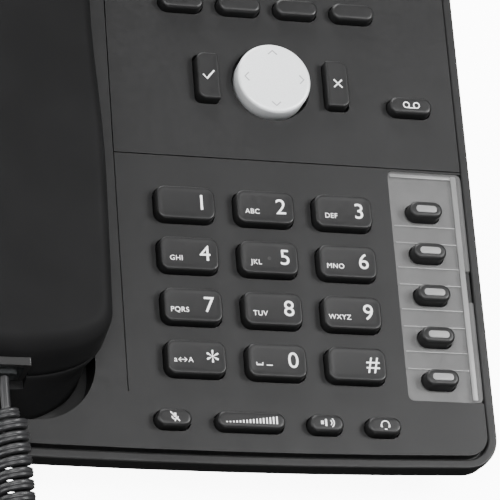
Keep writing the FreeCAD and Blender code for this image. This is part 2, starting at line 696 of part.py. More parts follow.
def build_rim_frame():
    """The ring around the face, with a ledge that the face plate rests on."""
    body = new_body("rim_frame")
    pad(body, case_outline(body, "rim_outer", "0", f"-{RIM_FLOOR}"), f"{RIM_FLOOR} - Size.rim_drop")
    seat = case_outline(body, "rim_seat", "Size.rim_band", "0")
    pocket(body, seat, "Size.plate_thick")
    inner = case_outline(body, "rim_inner", "Size.rim_band + Size.rim_ledge", "0")
    pocket(body, inner)
    soften(body, "Fillet", "0.5", at_height(-value("Size.rim_drop")))
    place(body)


def lower_form(label, inset, lift, above_top):
    """The solid wedge of the lower housing, set in by a wall and lifted by a floor: an upright band, a
    taper down to the underside and the flat facet in front that stands level on the desk."""
    body = new_body(label)
    top = case_outline(body, f"{label}_top", f"{inset} + Size.shell_in", f"-{BAND_FOOT}")
    foot = case_outline(
        body, f"{label}_foot", f"{inset} + Size.shell_in + Size.floor_inset", f"-Size.floor_drop + {lift}")
    taper = body.newObject("PartDesign::AdditiveLoft", f"{label}_taper")
    taper.Profile = top
    taper.Sections = [foot]
    taper.Ruled = True
    band = case_outline(body, f"{label}_band", f"{inset} + Size.shell_in", f"-{BAND_FOOT}")
    pad(body, band, f"{BAND_FOOT} - {above_top}")
    start_along = f"({FRONT} + Size.ramp_inset)"
    start_above = f"(-Size.ramp_top + {lift})"
    run = "60"
    ramp = profile(body, f"{label}_ramp", (
        (f"{start_along} - {run}", f"{start_above} + {run} * tan(Size.face_tilt * 1 deg)"),
        (f"{start_along} + {run}", f"{start_above} - {run} * tan(Size.face_tilt * 1 deg)"),
        (f"{start_along} - {run}", f"{start_above} - {run} * tan(Size.face_tilt * 1 deg)"),
    ))
    pocket(body, ramp, "2 * Size.case_wide", middle=True)
    return body


def build_lower_housing():
    """The tray under the rim: walls, floor, screw posts, stand lugs, jack openings and wall hooks."""
    outer = lower_form("lower_outside", "0", "0", BAND_TOP)
    inner = lower_form("lower_inside", "Size.wall", "Size.wall", f"({BAND_TOP} - 1)")
    tray = joined("Cut", "lower_tray", outer, inner)
    body = body_from("lower_housing", tray)

    collar = case_outline(
        body, "shadow_collar", "Size.shell_in + Size.shadow_inset", f"-{BAND_TOP} - Size.weld")
    pad(body, collar, "Size.shadow_deep + Size.weld")
    collar = case_outline(
        body, "collar_hollow", "Size.wall + Size.shell_in + Size.collar_wall", f"-{RIM_FLOOR}")
    pocket(body, collar, "Size.shadow_deep + Size.weld")

    posts = circles(body, "screw_posts", "Size.post_radius", SCREWS,
                    above="-Size.floor_drop + Size.weld")
    pad(body, posts, "Size.floor_drop - Size.weld - Size.boss_deep")
    bores = circles(body, "screw_holes", "Size.screw_radius + 0.2", SCREWS)
    pocket(body, bores)
    heads = circles(body, "screw_counterbores", "Size.head_radius + 0.3", SCREWS,
                    above="-Size.floor_drop - 1")
    pocket(body, heads, f"1 + Size.floor_drop - {HEAD_DROP}", reverse=True)

    for side, name in ((-1, "left"), (1, "right")):
        lug = profile(body, f"{name}_lug", LUG_OUTLINE, above=lug_across(side))
        pad(body, lug, "Size.lug_wide", middle=True)
        bore = new_sketch(body, f"{name}_bore", "YZ_Plane", above=lug_across(side))
        centre = FreeCAD.Vector(value("Size.hinge_along"), value(HINGE_ABOVE), 0)
        bore.addGeometry(Part.Circle(centre, FreeCAD.Vector(0, 0, 1), 2), False)
        fix(bore, "along", "Size.hinge_along", "DistanceX", -1, 1, 0, 3)
        fix(bore, "above", HINGE_ABOVE, "DistanceY", -1, 1, 0, 3)
        fix(bore, "radius", "Size.pin_radius + Size.pin_gap", "Radius", 0)
        pocket(body, bore, "Size.lug_wide + 2", middle=True)

    for number in range(2):
        net = rounded_rectangle(
            body, f"net_opening{number}", "Size.net_wide + 2 * Size.socket_wall + 0.2",
            "Size.net_high + 2 * Size.socket_wall + 0.2", "0.4",
            across=net_across(number), along="Size.net_along", above="-Size.floor_drop + 2 * Size.wall")
        pocket(body, net)
    power = circles(body, "power_opening", "Size.power_body / 2 + 0.1",
                    [(POWER_ACROSS, "Size.net_along")], above="-Size.floor_drop + 2 * Size.wall")
    pocket(body, power)
    for number in range(2):
        jack = rounded_rectangle(
            body, f"jack_opening{number}", JACK_LONG + " + 0.2", JACK_HIGH + " + 0.2", "0.4",
            plane="YZ_Plane", across=jack_along(number), along="-Size.jack_drop",
            above=f"{LEFT} + 16")
        pocket(body, jack)

    for side in (-1, 1):
        across = f"({CASE_ACROSS} + {side} * Size.keyhole_spread)"
        head = circles(body, f"keyhole_head{side + 1}", "Size.keyhole_head",
                       [(across, "Size.keyhole_along")], above="-Size.floor_drop + 2 * Size.wall")
        pocket(body, head)
        slot = rounded_rectangle(
            body, f"keyhole_slot{side + 1}", "2 * Size.keyhole_slot", "Size.keyhole_run",
            "Size.keyhole_slot - 0.05", across=across,
            along="Size.keyhole_along + Size.keyhole_run / 2", above="-Size.floor_drop + 2 * Size.wall")
        pocket(body, slot)

    for side in (-1, 1):
        seat = foot_seat(body, f"foot_seat{side + 1}", side, "Size.foot_radius + 0.05", "0")
        pocket(body, seat, "Size.foot_seat", reverse=True)
    place(body)


LUG_OUTLINE = (
    ("Size.hinge_along - Size.lug_radius - 3", "-Size.floor_drop + 0.5"),
    ("Size.hinge_along + Size.lug_radius + 3", "-Size.floor_drop + 0.5"),
    ("Size.hinge_along + Size.lug_radius", f"{HINGE_ABOVE} - 1"),
    ("Size.hinge_along + Size.lug_radius / 2", f"{HINGE_ABOVE} - Size.lug_radius + 0.6"),
    ("Size.hinge_along - Size.lug_radius / 2", f"{HINGE_ABOVE} - Size.lug_radius + 0.6"),
    ("Size.hinge_along - Size.lug_radius", f"{HINGE_ABOVE} - 1"),
)


def lug_across(side):
    """The middle of one stand lug, just outside the stand."""
    return f"({CASE_ACROSS} + {side} * (Size.stand_wide / 2 + Size.side_gap + Size.lug_wide / 2))"


def net_across(number):
    return f"(Size.nav_across + {number} * Size.net_pitch)"


def jack_along(number):
    return f"(Size.jack_along + {number} * Size.jack_pitch)"


def foot_seat(body, name, side, radius, sunk):
    """A circle on the level facet under the front of the case, looking down at the desk."""
    up = "Size.foot_up"
    tilt = "Size.face_tilt * 1 deg"
    sketch = new_sketch(
        body, name, "XY_Plane",
        across=f"{CASE_ACROSS} + {side} * Size.foot_across",
        along=f"{FRONT} + Size.ramp_inset + {up} * cos({tilt}) - ({sunk}) * sin({tilt})",
        above=f"-Size.ramp_top - {up} * sin({tilt}) - ({sunk}) * cos({tilt})")
    sketch.AttachmentOffset = FreeCAD.Placement(
        FreeCAD.Vector(), FreeCAD.Rotation(FreeCAD.Vector(1, 0, 0), -value("Size.face_tilt")))
    sketch.setExpression("AttachmentOffset.Rotation.Angle", "-Size.face_tilt")
    circle = Part.Circle(FreeCAD.Vector(0, 0, 0), FreeCAD.Vector(0, 0, 1), value(radius))
    sketch.addGeometry(circle, False)
    sketch.addConstraint(Sketcher.Constraint("Coincident", 0, 3, -1, 1))
    fix(sketch, "radius", radius, "Radius", 0)
    return sketch


def build_display_fascia():
    """The upper panel: a plate of its own with the display window and the panel keys."""
    body = new_body("display_fascia")
    outline = case_outline(body, "fascia_outline", FACE_INSET, "-Size.plate_thick")
    pad(body, outline, "Size.plate_thick")
    cuts = (
        ("fascia_front", "2 * Size.case_wide", "Size.case_long",
         "0", "Size.seam_along + Size.seam_gap - Size.case_long / 2"),
        ("fascia_left", "Size.case_wide", "3 * Size.case_long",
         f"{PANEL_LEFT} + Size.seam_gap - Size.case_wide / 2", "0"),
    )
    for name, long, wide, across, along in cuts:
        pocket(body, rounded_rectangle(body, name, long, wide, "0.3", across=across, along=along))
    add_boss(body, "fascia", (PANEL_BOSS,), "Size.weld")
    seat = rounded_rectangle(
        body, "lens_seat", "Size.lens_wide + 2 * Size.fit_gap", f"{LENS_LONG} + 2 * Size.fit_gap",
        "Size.lens_corner", across=LENS_ACROSS, along=LENS_ALONG)
    pocket(body, seat, "Size.lens_thick")
    window = rounded_rectangle(
        body, "screen_window", "Size.lens_wide - 2 * Size.view_margin",
        f"{LENS_LONG} - 2 * Size.view_margin", "0.6", across=LENS_ACROSS, along=LENS_ALONG)
    pocket(body, window)
    cut_key_openings(body, PANEL_KINDS)
    pad_hole = circles(body, "pad_hole", "Size.nav_radius + Size.nav_gap",
                       [("Size.nav_across", "Size.nav_along")])
    pocket(body, pad_hole)
    light = rounded_rectangle(
        body, "light_slot", "Size.lamp_bar_long + 2 * Size.fit_gap",
        "Size.lamp_bar_wide + 2 * Size.fit_gap", "Size.lamp_bar_wide / 2",
        across=LIGHT_ACROSS, along=LIGHT_ALONG)
    pocket(body, light)
    place(body)


def plate(label, long, wide, corner, thick, across, along, top):
    """A flat sub-part with round corners whose top lies at a height."""
    body = new_body(label)
    pad(body, rounded_rectangle(body, f"{label}_outline", long, wide, corner), thick, reverse=True)
    place(body, across, along, top)
    return body


def build_display():
    plate("display_lens", "Size.lens_wide", LENS_LONG, "Size.lens_corner - Size.fit_gap",
          "Size.lens_thick", LENS_ACROSS, LENS_ALONG, "0")
    plate("lcd_module", "Size.lens_wide - 2", f"{LENS_LONG} - 2", "0.8", "Size.lcd_thick",
          LENS_ACROSS, LENS_ALONG, "-Size.plate_thick")
    light = plate("message_light", "Size.lamp_bar_long", "Size.lamp_bar_wide",
                  "Size.lamp_bar_wide / 2 - 0.05", "Size.plate_thick + 0.6", LIGHT_ACROSS, LIGHT_ALONG,
                  "0.6")
    soften(light, "Fillet", "0.5", at_height(0))


def build_label():
    """The paper strip beside the line keys and the clear cover that snaps over it."""
    strip_top = "-Size.label_deep + Size.paper_thick"
    paper_wide = f"({LABEL_WIDE} - 2.6)"
    strip = new_body("label_strip")
    outline = rounded_rectangle(
        strip, "label_strip_outline", paper_wide, f"{LABEL_LONG} - 0.6", "1",
        across=f"Size.label_left + 0.3 + {paper_wide} / 2", along=LABEL_ALONG,
        above="-Size.label_deep")
    pad(strip, outline, "Size.paper_thick")
    cut_key_openings(strip, ("line",))
    place(strip)

    cover = new_body("label_cover")
    outline = rounded_rectangle(
        cover, "label_cover_outline", f"{LABEL_WIDE} - Size.fit_gap", f"{LABEL_LONG} - 2 * Size.fit_gap",
        "1.4", across=f"Size.label_left + {LABEL_WIDE} / 2", along=LABEL_ALONG,
        above=f"{strip_top} + 0.05")
    pad(cover, outline, "Size.cover_thick")
    notch = rounded_rectangle(
        cover, "finger_notch", "2 * Size.notch_deep", "Size.notch_long", "0.4",
        across=f"{RIGHT} - {FACE_INSET}", along="Size.notch_along")
    pocket(cover, notch)
    cut_key_openings(cover, ("line",))
    place(cover)


def build_board():
    """The main board, and the silicone mat with a dome under every key."""
    board_long = f"({BACK} - Size.board_to_back + Size.board_front)"
    board = new_body("main_board")
    outline = rounded_rectangle(
        board, "board_outline", "Size.board_left + Size.board_right", board_long, "2",
        across="(Size.board_right - Size.board_left) / 2",
        along=f"{board_long} / 2 - Size.board_front", above="-Size.board_drop")
    pad(board, outline, "Size.board_thick", reverse=True)
    holes = circles(board, "board_holes", "Size.boss_radius + 0.5", (HOUSING_BOSSES[2], PANEL_BOSS))
    pocket(board, holes)
    place(board)

    mat_long = "(Size.mat_back + Size.board_front - 1)"
    mat = new_body("key_mat")
    outline = rounded_rectangle(
        mat, "mat_outline", "Size.board_left + Size.board_right - 2", mat_long, "2",
        across="(Size.board_right - Size.board_left) / 2",
        along=f"{mat_long} / 2 - Size.board_front + 1", above="-Size.board_drop")
    pad(mat, outline, "Size.mat_thick")
    centres = [(across, along) for label, kind, across, along in KEYS]
    domes = circles(mat, "mat_domes", "Size.dome_radius", centres, above="-Size.board_drop")
    pad(mat, domes, "Size.mat_thick + Size.dome_high")
    hole = circles(mat, "mat_hole", "Size.boss_radius + 0.5", (HOUSING_BOSSES[2],))
    pocket(mat, hole)
    place(mat)


def build_navigation():
    """The round pad on its stem, and the ring under it that rocks the other way."""
    ring = new_body("nav_rocker")
    outer = circles(ring, "ring_outer", "Size.nav_radius + Size.nav_ring_over", [("0", "0")],
                    above="-Size.nav_ring_drop")
    pad(ring, outer, "Size.nav_ring_thick", reverse=True)
    inner = circles(ring, "ring_inner", "Size.nav_stem + Size.nav_stem_gap", [("0", "0")])
    pocket(ring, inner)
    place(ring, "Size.nav_across", "Size.nav_along")

    cap = new_body("nav_cap")
    disc = circles(cap, "pad_disc", "Size.nav_radius", [("0", "0")], above="-Size.nav_foot")
    pad(cap, disc, "Size.nav_foot + Size.nav_high")
    stem = circles(cap, "pad_stem", "Size.nav_stem", [("0", "0")],
                   above="-Size.nav_ring_drop - Size.nav_ring_thick")
    pad(cap, stem, "Size.nav_ring_drop + Size.nav_ring_thick")
    soften(cap, "Fillet", "0.8", at_height(value("Size.nav_high")))
    place(cap, "Size.nav_across", "Size.nav_along")


# ---------------------------------------------------------------------------------------------------
# cradle and handset


def build_cradle_parts():
    """The hook plunger and the loudspeaker under the grip."""
    hook = new_body("hook_switch")
    top = f"-{CRADLE_FLOOR} + {HOOK_STAND}"
    pin = circles(hook, "plunger", "Size.hook_radius", [("0", "0")])
    pad(hook, pin, f"{HOOK_STAND} + Size.wall + Size.hook_travel + 1", reverse=True)
    flange = circles(hook, "plunger_flange", "Size.hook_radius + 1.2", [("0", "0")],
                     above=f"-({HOOK_STAND} + Size.wall + Size.hook_travel + 0.3)")
    pad(hook, flange, "1", reverse=True)
    place(hook, HANDSET_ACROSS, HOOK_ALONG, top)

    speaker = new_body("loudspeaker")
    rim = circles(speaker, "speaker_rim", "Size.cone_radius", [("0", "0")])
    pad(speaker, rim, "3", reverse=True)
    basket = circles(speaker, "speaker_basket", "Size.cone_radius * 0.7", [("0", "0")], above="-3")
    pad(speaker, basket, "5", reverse=True)
    magnet = circles(speaker, "speaker_magnet", "Size.cone_radius * 0.5", [("0", "0")], above="-8")
    pad(speaker, magnet, "Size.cone_deep - 8", reverse=True)
    cone = circles(speaker, "speaker_cone", "Size.cone_radius - 3", [("0", "0")])
    pocket(speaker, cone, "2")
    place(speaker, HANDSET_ACROSS, GRIP_MIDDLE, "-Size.plate_thick")


def handset_form(label, inset, sink):
    """The solid upper half of the handset, set in by a wall: a long arched top, leaning end faces and
    round corners. sink takes its underside below the parting line."""
    body = new_body(label)
    foot = f"(Size.parting - {sink})"
    top = f"(Size.handset_top - {inset})"
    lean = f"(Size.end_slope * ({top} - {foot}) / (Size.handset_top + Size.handset_sink))"
    front = f"({MOUTH} + {END_LEAN} + ({inset}))"
    back = f"({EAR} - {END_LEAN} - ({inset}))"
    side = profile(body, f"{label}_side", (
        (front, foot),
        (f"{front} + {lean}", top),
        (f"{back} - {lean}", top),
        (back, foot),
    ), arches={1: "Size.handset_crown"})
    pad(body, side, f"Size.handset_wide - 2 * ({inset})", middle=True)

    def plan_corner(edge):
        box = edge.BoundBox
        return box.XLength < 0.01 and box.ZLength > 5 and box.YLength < 10

    soften(body, "Fillet", f"Size.handset_plan - ({inset})", plan_corner)

    def upper_edge(edge):
        box = edge.BoundBox
        return box.ZMax > value(top) - 0.01 and box.ZMin > value(top) - 0.5

    soften(body, "Fillet", f"Size.handset_edge - ({inset}) / 2", upper_edge)
    return body


def cut_plug_notch(body, name):
    """The notch in the handset's front end that the jack sits in."""
    notch = rounded_rectangle(
        body, name, f"{JACK_LONG} + 0.2", f"{JACK_HIGH} + 0.2", "0.4", plane="XZ_Plane",
        along="Size.socket_height", above=f"-({SOCKET_MOUTH} + {SOCKET_LONG} + 0.1)")
    pocket(body, notch, "Size.handset_front + 40", reverse=True)


def build_handset():
    shell = body_from("handset_outer_shell", joined(
        "Cut", "handset_hollow", handset_form("handset_outside", "0", "0"),
        handset_form("handset_inside", "Size.handset_wall", "1")))
    cut_plug_notch(shell, "outer_notch")
    place(shell, HANDSET_ACROSS)

    inner = new_body("handset_inner_shell")
    foot = "-Size.handset_sink"
    ear_front = f"({EAR} - Size.ear_long)"
    mouth_back = f"({MOUTH} + Size.mouth_long)"
    side = profile(inner, "inner_side", (
        (f"{MOUTH} + {END_LEAN} + 0.6", "Size.parting"),
        (f"{EAR} - {END_LEAN} - 0.6", "Size.parting"),
        (f"{EAR} - 0.5", foot),
        (ear_front, foot),
        (f"{ear_front} - Size.throat", "Size.grip_rise"),
        (f"{mouth_back} + Size.throat", "Size.grip_rise"),
        (mouth_back, foot),
        (f"{MOUTH} + 0.5", foot),
    ))
    pad(inner, side, HANDSET_FOOT, middle=True)

    def plan_corner(edge):
        box = edge.BoundBox
        at_end = box.YMin < value(MOUTH) + 8 or box.YMax > value(EAR) - 8
        return box.XLength < 0.01 and box.ZLength > 5 and at_end

    soften(inner, "Fillet", "Size.handset_plan - 1.5", plan_corner)
    soften(inner, "Fillet", "1", at_height(value(foot)))
    for name, along, long in (
        ("mouth_room", f"{MOUTH} + Size.mouth_long / 2 + 1", "Size.mouth_long - 11"),
        ("ear_room", f"{EAR} - Size.ear_long / 2 - 1", "Size.ear_long - 11"),
    ):
        room = rounded_rectangle(
            inner, name, f"{HANDSET_FOOT} - 4 * Size.handset_wall", long, "8",
            along=along, above="Size.parting")
        pocket(inner, room, "Size.parting + Size.handset_sink - Size.handset_wall")
    for name, along in (("mouth_slot", MOUTH_CAPSULE), ("ear_slot", EAR_CAPSULE)):
        for number in (-1, 0, 1):
            slot = rounded_rectangle(
                inner, f"{name}{number + 1}", "10", "1.5", "0.7", along=f"{along} + {number} * 3.5")
            pocket(inner, slot, "Size.handset_sink + 1")
    cut_plug_notch(inner, "inner_notch")
    place(inner, HANDSET_ACROSS)

    for label, along in (("receiver_capsule", EAR_CAPSULE), ("transmitter_capsule", MOUTH_CAPSULE)):
        capsule = new_body(label)
        radius = "Size.capsule_radius" if label == "receiver_capsule" else "Size.capsule_radius * 0.6"
        disc = circles(capsule, f"{label}_disc", radius, [("0", "0")])
        pad(capsule, disc, "Size.capsule_thick")
        place(capsule, HANDSET_ACROSS, along, f"{foot} + Size.handset_wall")


# ---------------------------------------------------------------------------------------------------
# jacks, cord


def socket_block(body, name, long, high, deep, **offset):
    """A jack: a box with a cavity open on one face. The sketch's zero is the mouth's middle, and the
    block goes against the sketch's normal."""
    block = rounded_rectangle(
        body, f"{name}_block", f"{long} + 2 * Size.socket_wall", f"{high} + 2 * Size.socket_wall",
        "0.3", **offset)
    pad(body, block, f"{deep} + Size.socket_wall", reverse=True)
    cavity = rounded_rectangle(body, f"{name}_cavity", long, high, "0.2", **offset)
    pocket(body, cavity, deep)


def build_jacks():
    socket = new_body("handset_socket")
    socket_block(socket, "handset_jack", *PLUG_ROOM, "Size.plug_long", plane="XZ_Plane",
                 along="Size.socket_height", above=f"-{SOCKET_MOUTH}")
    place(socket, HANDSET_ACROSS)

    jacks = new_body("cord_jacks")
    for number, name in enumerate(("handset", "headset")):
        mouth = {"plane": "YZ_Plane", "across": jack_along(number), "along": "-Size.jack_drop",
                 "above": JACK_MOUTH}
        block = rounded_rectangle(jacks, f"{name}_jack_block", JACK_LONG, JACK_HIGH, "0.3", **mouth)
        pad(jacks, block, SOCKET_LONG)
        cavity = rounded_rectangle(jacks, f"{name}_jack_cavity", *PLUG_ROOM, "0.2", **mouth)
        pocket(jacks, cavity, "Size.plug_long", reverse=True)
    place(jacks)

    jacks = new_body("network_jacks")
    for number, name in enumerate(("line", "computer")):
        mouth = {"across": net_across(number), "along": "Size.net_along", "above": "-Size.floor_drop"}
        block = rounded_rectangle(
            jacks, f"{name}_jack_block", "Size.net_wide + 2 * Size.socket_wall",
            "Size.net_high + 2 * Size.socket_wall", "0.3", **mouth)
        pad(jacks, block, "Size.net_deep + Size.socket_wall")
        cavity = rounded_rectangle(
            jacks, f"{name}_jack_cavity", "Size.net_wide", "Size.net_high", "0.2", **mouth)
        pocket(jacks, cavity, "Size.net_deep", reverse=True)
    place(jacks)

    power = new_body("power_inlet")
    body = circles(power, "inlet_body", "Size.power_body / 2", [(POWER_ACROSS, "Size.net_along")],
                   above="-Size.floor_drop")
    pad(power, body, "Size.net_deep")
    bore = circles(power, "inlet_bore", "Size.power_radius", [(POWER_ACROSS, "Size.net_along")],
                   above="-Size.floor_drop")
    pocket(power, bore, "Size.net_deep - 1.5", reverse=True)
    pin = circles(power, "inlet_pin", "0.9", [(POWER_ACROSS, "Size.net_along")],
                  above="-Size.floor_drop + 1")
    pad(power, pin, "Size.net_deep - 2")
    place(power)


def build_plugs():
    """The two plugs of the handset cord, each with the stub that the lead comes out of."""
    plug = new_body("handset_plug")
    block = rounded_rectangle(plug, "top_plug_block", "Size.plug_wide", "Size.plug_high", "0.3",
                              plane="XZ_Plane", along="Size.socket_height", above=f"-{SOCKET_MOUTH}")
    pad(plug, block, "Size.plug_long - 0.5", reverse=True)
    stub = rounded_rectangle(plug, "top_plug_stub", "5", "4", "0.8", plane="XZ_Plane",
                             along="Size.socket_height", above=f"-{SOCKET_MOUTH}")
    pad(plug, stub, "1")
    place(plug, HANDSET_ACROSS)

    plug = new_body("base_plug")
    block = rounded_rectangle(plug, "base_plug_block", "Size.plug_wide", "Size.plug_high", "0.3",
                              plane="YZ_Plane", across=jack_along(0), along="-Size.jack_drop",
                              above=JACK_MOUTH)
    pad(plug, block, "Size.plug_long - 0.5")
    stub = rounded_rectangle(plug, "base_plug_stub", "5", "4", "0.8", plane="YZ_Plane",
                             across=jack_along(0), along="-Size.jack_drop", above=JACK_MOUTH)
    pad(plug, stub, "3", reverse=True)
    place(plug)


# The cord's route in the model's own frame: points chosen by hand, kept as they are when a size changes.
TOP_LEAD_ROUTE = ((-42.5, -82.8, 27.7), (-42.5, -88.3, 24.8))
COIL_ROUTE = (
    (-42.5, -88.3, 24.8),
    (-40.9, -101.5, 15.8),
    (-39.9, -118.0, 4.75),
    (-38.8, -137.5, 4.75),
    (-49.0, -158.0, 4.75),
    (-72.5, -166.5, 4.75),
    (-96.0, -156.0, 4.75),
    (-106.0, -133.0, 4.75),
    (-103.5, -105.0, 4.75),
    (-107.5, -77.0, 4.75),
    (-105.5, -51.0, 4.75),
)
BASE_LEAD_ROUTE = (
    (-105.5, -51.0, 4.75),
    (-105.7, -37.0, 5.0),
    (-104.0, -24.0, 11.0),
    (-99.5, -15.0, 22.0),
    (-91.0, -11.8, 32.0),
    (-81.0, -11.17, 38.15),
    (-71.25, -11.17, 38.15),
)


def tube(route, radius):
    """A round tube along straight runs joined by tangent arcs, each as large as its runs allow."""
    points = [FreeCAD.Vector(*place) for place in route]
    edges = []
    start = points[0]
    for before, corner, after in zip(points, points[1:], points[2:]):
        back, ahead = (before - corner), (after - corner)
        reach = 0.45 * min(back.Length, ahead.Length)
        back.normalize()
        ahead.normalize()
        half_turn = (math.pi - back.getAngle(ahead)) / 2
        bend = reach / math.tan(half_turn)
        print(f"bend radius {bend:.1f} mm, {bend / (2 * radius):.1f} diameters")
        entry, leave = corner + back * reach, corner + ahead * reach
        middle = (back + ahead).normalize()
        nearest = corner + middle * (bend / math.cos(half_turn) - bend)
        edges.append(Part.LineSegment(start, entry).toShape())
        edges.append(Part.Arc(entry, nearest, leave).toShape())
        start = leave
    edges.append(Part.LineSegment(start, points[-1]).toShape())
    wire = Part.Wire(edges)
    section = Part.Wire(Part.makeCircle(radius, points[0], points[1] - points[0]))
    solid = wire.makePipeShell([section], True, False)
    expected = math.pi * radius ** 2 * wire.Length
    print(f"tube of {wire.Length:.1f} mm, volume {solid.Volume / expected:.4f} of section times length")
    return solid


def build_cord():
    """The handset cord: a plain lead at each end and the curly stretch as one fat tube."""
    for label, route, radius in (
        ("cord_lead_top", TOP_LEAD_ROUTE, "Size.lead_radius"),
        ("cord_coil", COIL_ROUTE, "Size.coil_radius"),
        ("cord_lead_base", BASE_LEAD_ROUTE, "Size.lead_radius"),
    ):
        piece = doc.addObject("Part::Feature", label)
        piece.Label = label
        piece.Shape = tube(route, value(radius))
        piece.Placement = FreeCAD.Placement()
        CORD.append(piece)


# ---------------------------------------------------------------------------------------------------
# stand, feet, screws


def build_stand():
    """The plate that holds up the back, on two pins, with a pair of rubber feet."""
    drop = STAND_DROP
    stand = new_body("foot_stand")
    outline = rounded_rectangle(
        stand, "stand_outline", "Size.stand_wide", f"{drop}", "2", plane="XZ_Plane",
        along=f"-{drop} / 2")
    pad(stand, outline, "Size.stand_thick", middle=True)
    arch = rounded_rectangle(
        stand, "stand_arch", "Size.stand_wide - 40", f"{drop} - 26", "8", plane="XZ_Plane",
        along=f"-{drop} / 2 - 4")
    pocket(stand, arch, "Size.stand_thick + 2", middle=True)
    barrel = circles(stand, "stand_barrel", "Size.stand_thick / 2 + 0.6", [("0", "0")], plane="YZ_Plane")
    pad(stand, barrel, "Size.stand_wide", middle=True)
    pin = circles(stand, "stand_pins", "Size.pin_radius", [("0", "0")], plane="YZ_Plane")
    pad(stand, pin, "Size.stand_wide + 2 * Size.side_gap + 2 * Size.lug_wide", middle=True)
    level = profile(stand, "stand_level_end", (
        ("-20", level_end("-20")), ("20", level_end("20")), ("20", "-2 * " + drop),
        ("-20", "-2 * " + drop)))
    pocket(stand, level, "2 * Size.stand_wide", middle=True)
    place(stand, CASE_ACROSS, "Size.hinge_along", HINGE_ABOVE, lean="Size.stand_lean - Size.face_tilt")

    feet = new_body("stand_feet")
    for side in (-1, 1):
        foot = rounded_rectangle(
            feet, f"stand_foot{side + 1}", "14", "Size.stand_thick - 0.4", "1.5",
            across=f"{side} * (Size.stand_wide / 2 - 12)",
            along=f"({HINGE_HEIGHT} - Size.foot_stick) * tan(Size.stand_lean * 1 deg)",
            above=f"-{HINGE_HEIGHT}")
        pad(feet, foot, "Size.foot_stick")
    place(feet, CASE_ACROSS, "Size.hinge_along", HINGE_ABOVE, lean="-Size.face_tilt")


# The stand is drawn hanging straight down from its hinge, and leans back from that by its own angle.
FACET_TO_HINGE_ALONG = f"(Size.hinge_along - ({FRONT} + Size.ramp_inset))"
FACET_TO_HINGE_ABOVE = f"({HINGE_ABOVE} + Size.ramp_top)"
HINGE_HEIGHT = (f"({FACET_TO_HINGE_ALONG} * sin(Size.face_tilt * 1 deg)"
                f" + {FACET_TO_HINGE_ABOVE} * cos(Size.face_tilt * 1 deg) + Size.foot_stick)")
STAND_DROP = f"(({HINGE_HEIGHT} + 1) / cos(Size.stand_lean * 1 deg))"


def level_end(back):
    """The height at which the stand's end is cut level with the desk, at a place across its thickness."""
    lean = "Size.stand_lean * 1 deg"
    return f"(-({HINGE_HEIGHT} - Size.foot_stick) / cos({lean}) - ({back}) * tan({lean}))"


def build_feet():
    """Two round pads let into the level facet under the front."""
    feet = new_body("rubber_feet")
    for side in (-1, 1):
        circle = foot_seat(feet, f"front_foot{side + 1}", side, "Size.foot_radius", "Size.foot_stick")
        pad(feet, circle, "Size.foot_stick + Size.foot_seat")
    place(feet)


def build_screws():
    """The screws that hold the two housings and the upper panel together, driven from below."""
    screws = new_body("housing_screws")
    shank = circles(screws, "shanks", "Size.screw_radius - Size.thread_gap", SCREWS,
                    above=f"-{HEAD_DROP}")
    pad(screws, shank, "Size.screw_long")
    head = circles(screws, "heads", "Size.head_radius", SCREWS, above=f"-{HEAD_DROP}")
    pad(screws, head, "Size.head_high", reverse=True)
    recess = circles(screws, "recesses", "Size.screw_radius * 0.7", SCREWS,
                     above=f"-{HEAD_DROP} - Size.head_high")
    pocket(screws, recess, "Size.head_high * 0.6", reverse=True)
    place(screws)


# ---------------------------------------------------------------------------------------------------
# the whole phone


def stand_on_desk():
    """Moves the model so that the middle of its footprint is the origin and the feet touch the desk."""
    doc.recompute()
    box = Part.Compound([item.Shape for item in FINISHED]).optimalBoundingBox(False)
    for cell, offset in zip(("A1", "A2", "A3"), (box.Center.x, box.Center.y, box.ZMin)):
        origin.set(cell, str(offset))
    doc.recompute()


def check_and_write():
    """Stops on any failed object, then writes each sub-part to its own file."""
    os.makedirs("parts", exist_ok=True)
    for item in doc.Objects:
        if "Invalid" in item.State or "Error" in item.State:
            raise RuntimeError(f"{item.Label} failed: {item.State}")
    for item in FINISHED + CORD:
        if item.Shape.isNull() or not item.Shape.isValid():
            raise RuntimeError(f"{item.Label} has no valid shape")
    for item in FINISHED + CORD:
        item.Shape.exportStep(f"parts/{item.Label}.step")
    print(f"{len(FINISHED + CORD)} sub-parts written")


build_upper_housing()
build_rim_frame()
build_lower_housing()
build_display_fascia()
build_display()
build_label()
build_board()
for key in KEYS:
    build_key(*key)
build_navigation()
build_cradle_parts()
build_handset()
build_jacks()
build_plugs()
build_stand()
build_feet()
build_screws()
build_cord()
stand_on_desk()
check_and_write()
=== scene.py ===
import json
import math

import bmesh
import bpy
from mathutils import Matrix, Quaternion, Vector


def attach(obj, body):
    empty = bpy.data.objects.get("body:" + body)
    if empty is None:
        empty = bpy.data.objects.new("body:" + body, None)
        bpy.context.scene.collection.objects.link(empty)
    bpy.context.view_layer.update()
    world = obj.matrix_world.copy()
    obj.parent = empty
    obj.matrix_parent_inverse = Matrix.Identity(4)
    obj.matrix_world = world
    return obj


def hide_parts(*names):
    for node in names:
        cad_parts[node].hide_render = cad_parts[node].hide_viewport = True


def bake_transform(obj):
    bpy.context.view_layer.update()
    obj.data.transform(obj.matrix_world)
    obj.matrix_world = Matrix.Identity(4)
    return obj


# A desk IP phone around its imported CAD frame.
#
# Every place on the phone is given in the frame of its sloping face, in mm: "across" runs to the right,
# "up" runs up the slope and "out" stands out of the face. Zero is the middle of the dial pad. That frame
# is worked out from the CAD nodes, and at() turns such a place into a point of the model, in metres.

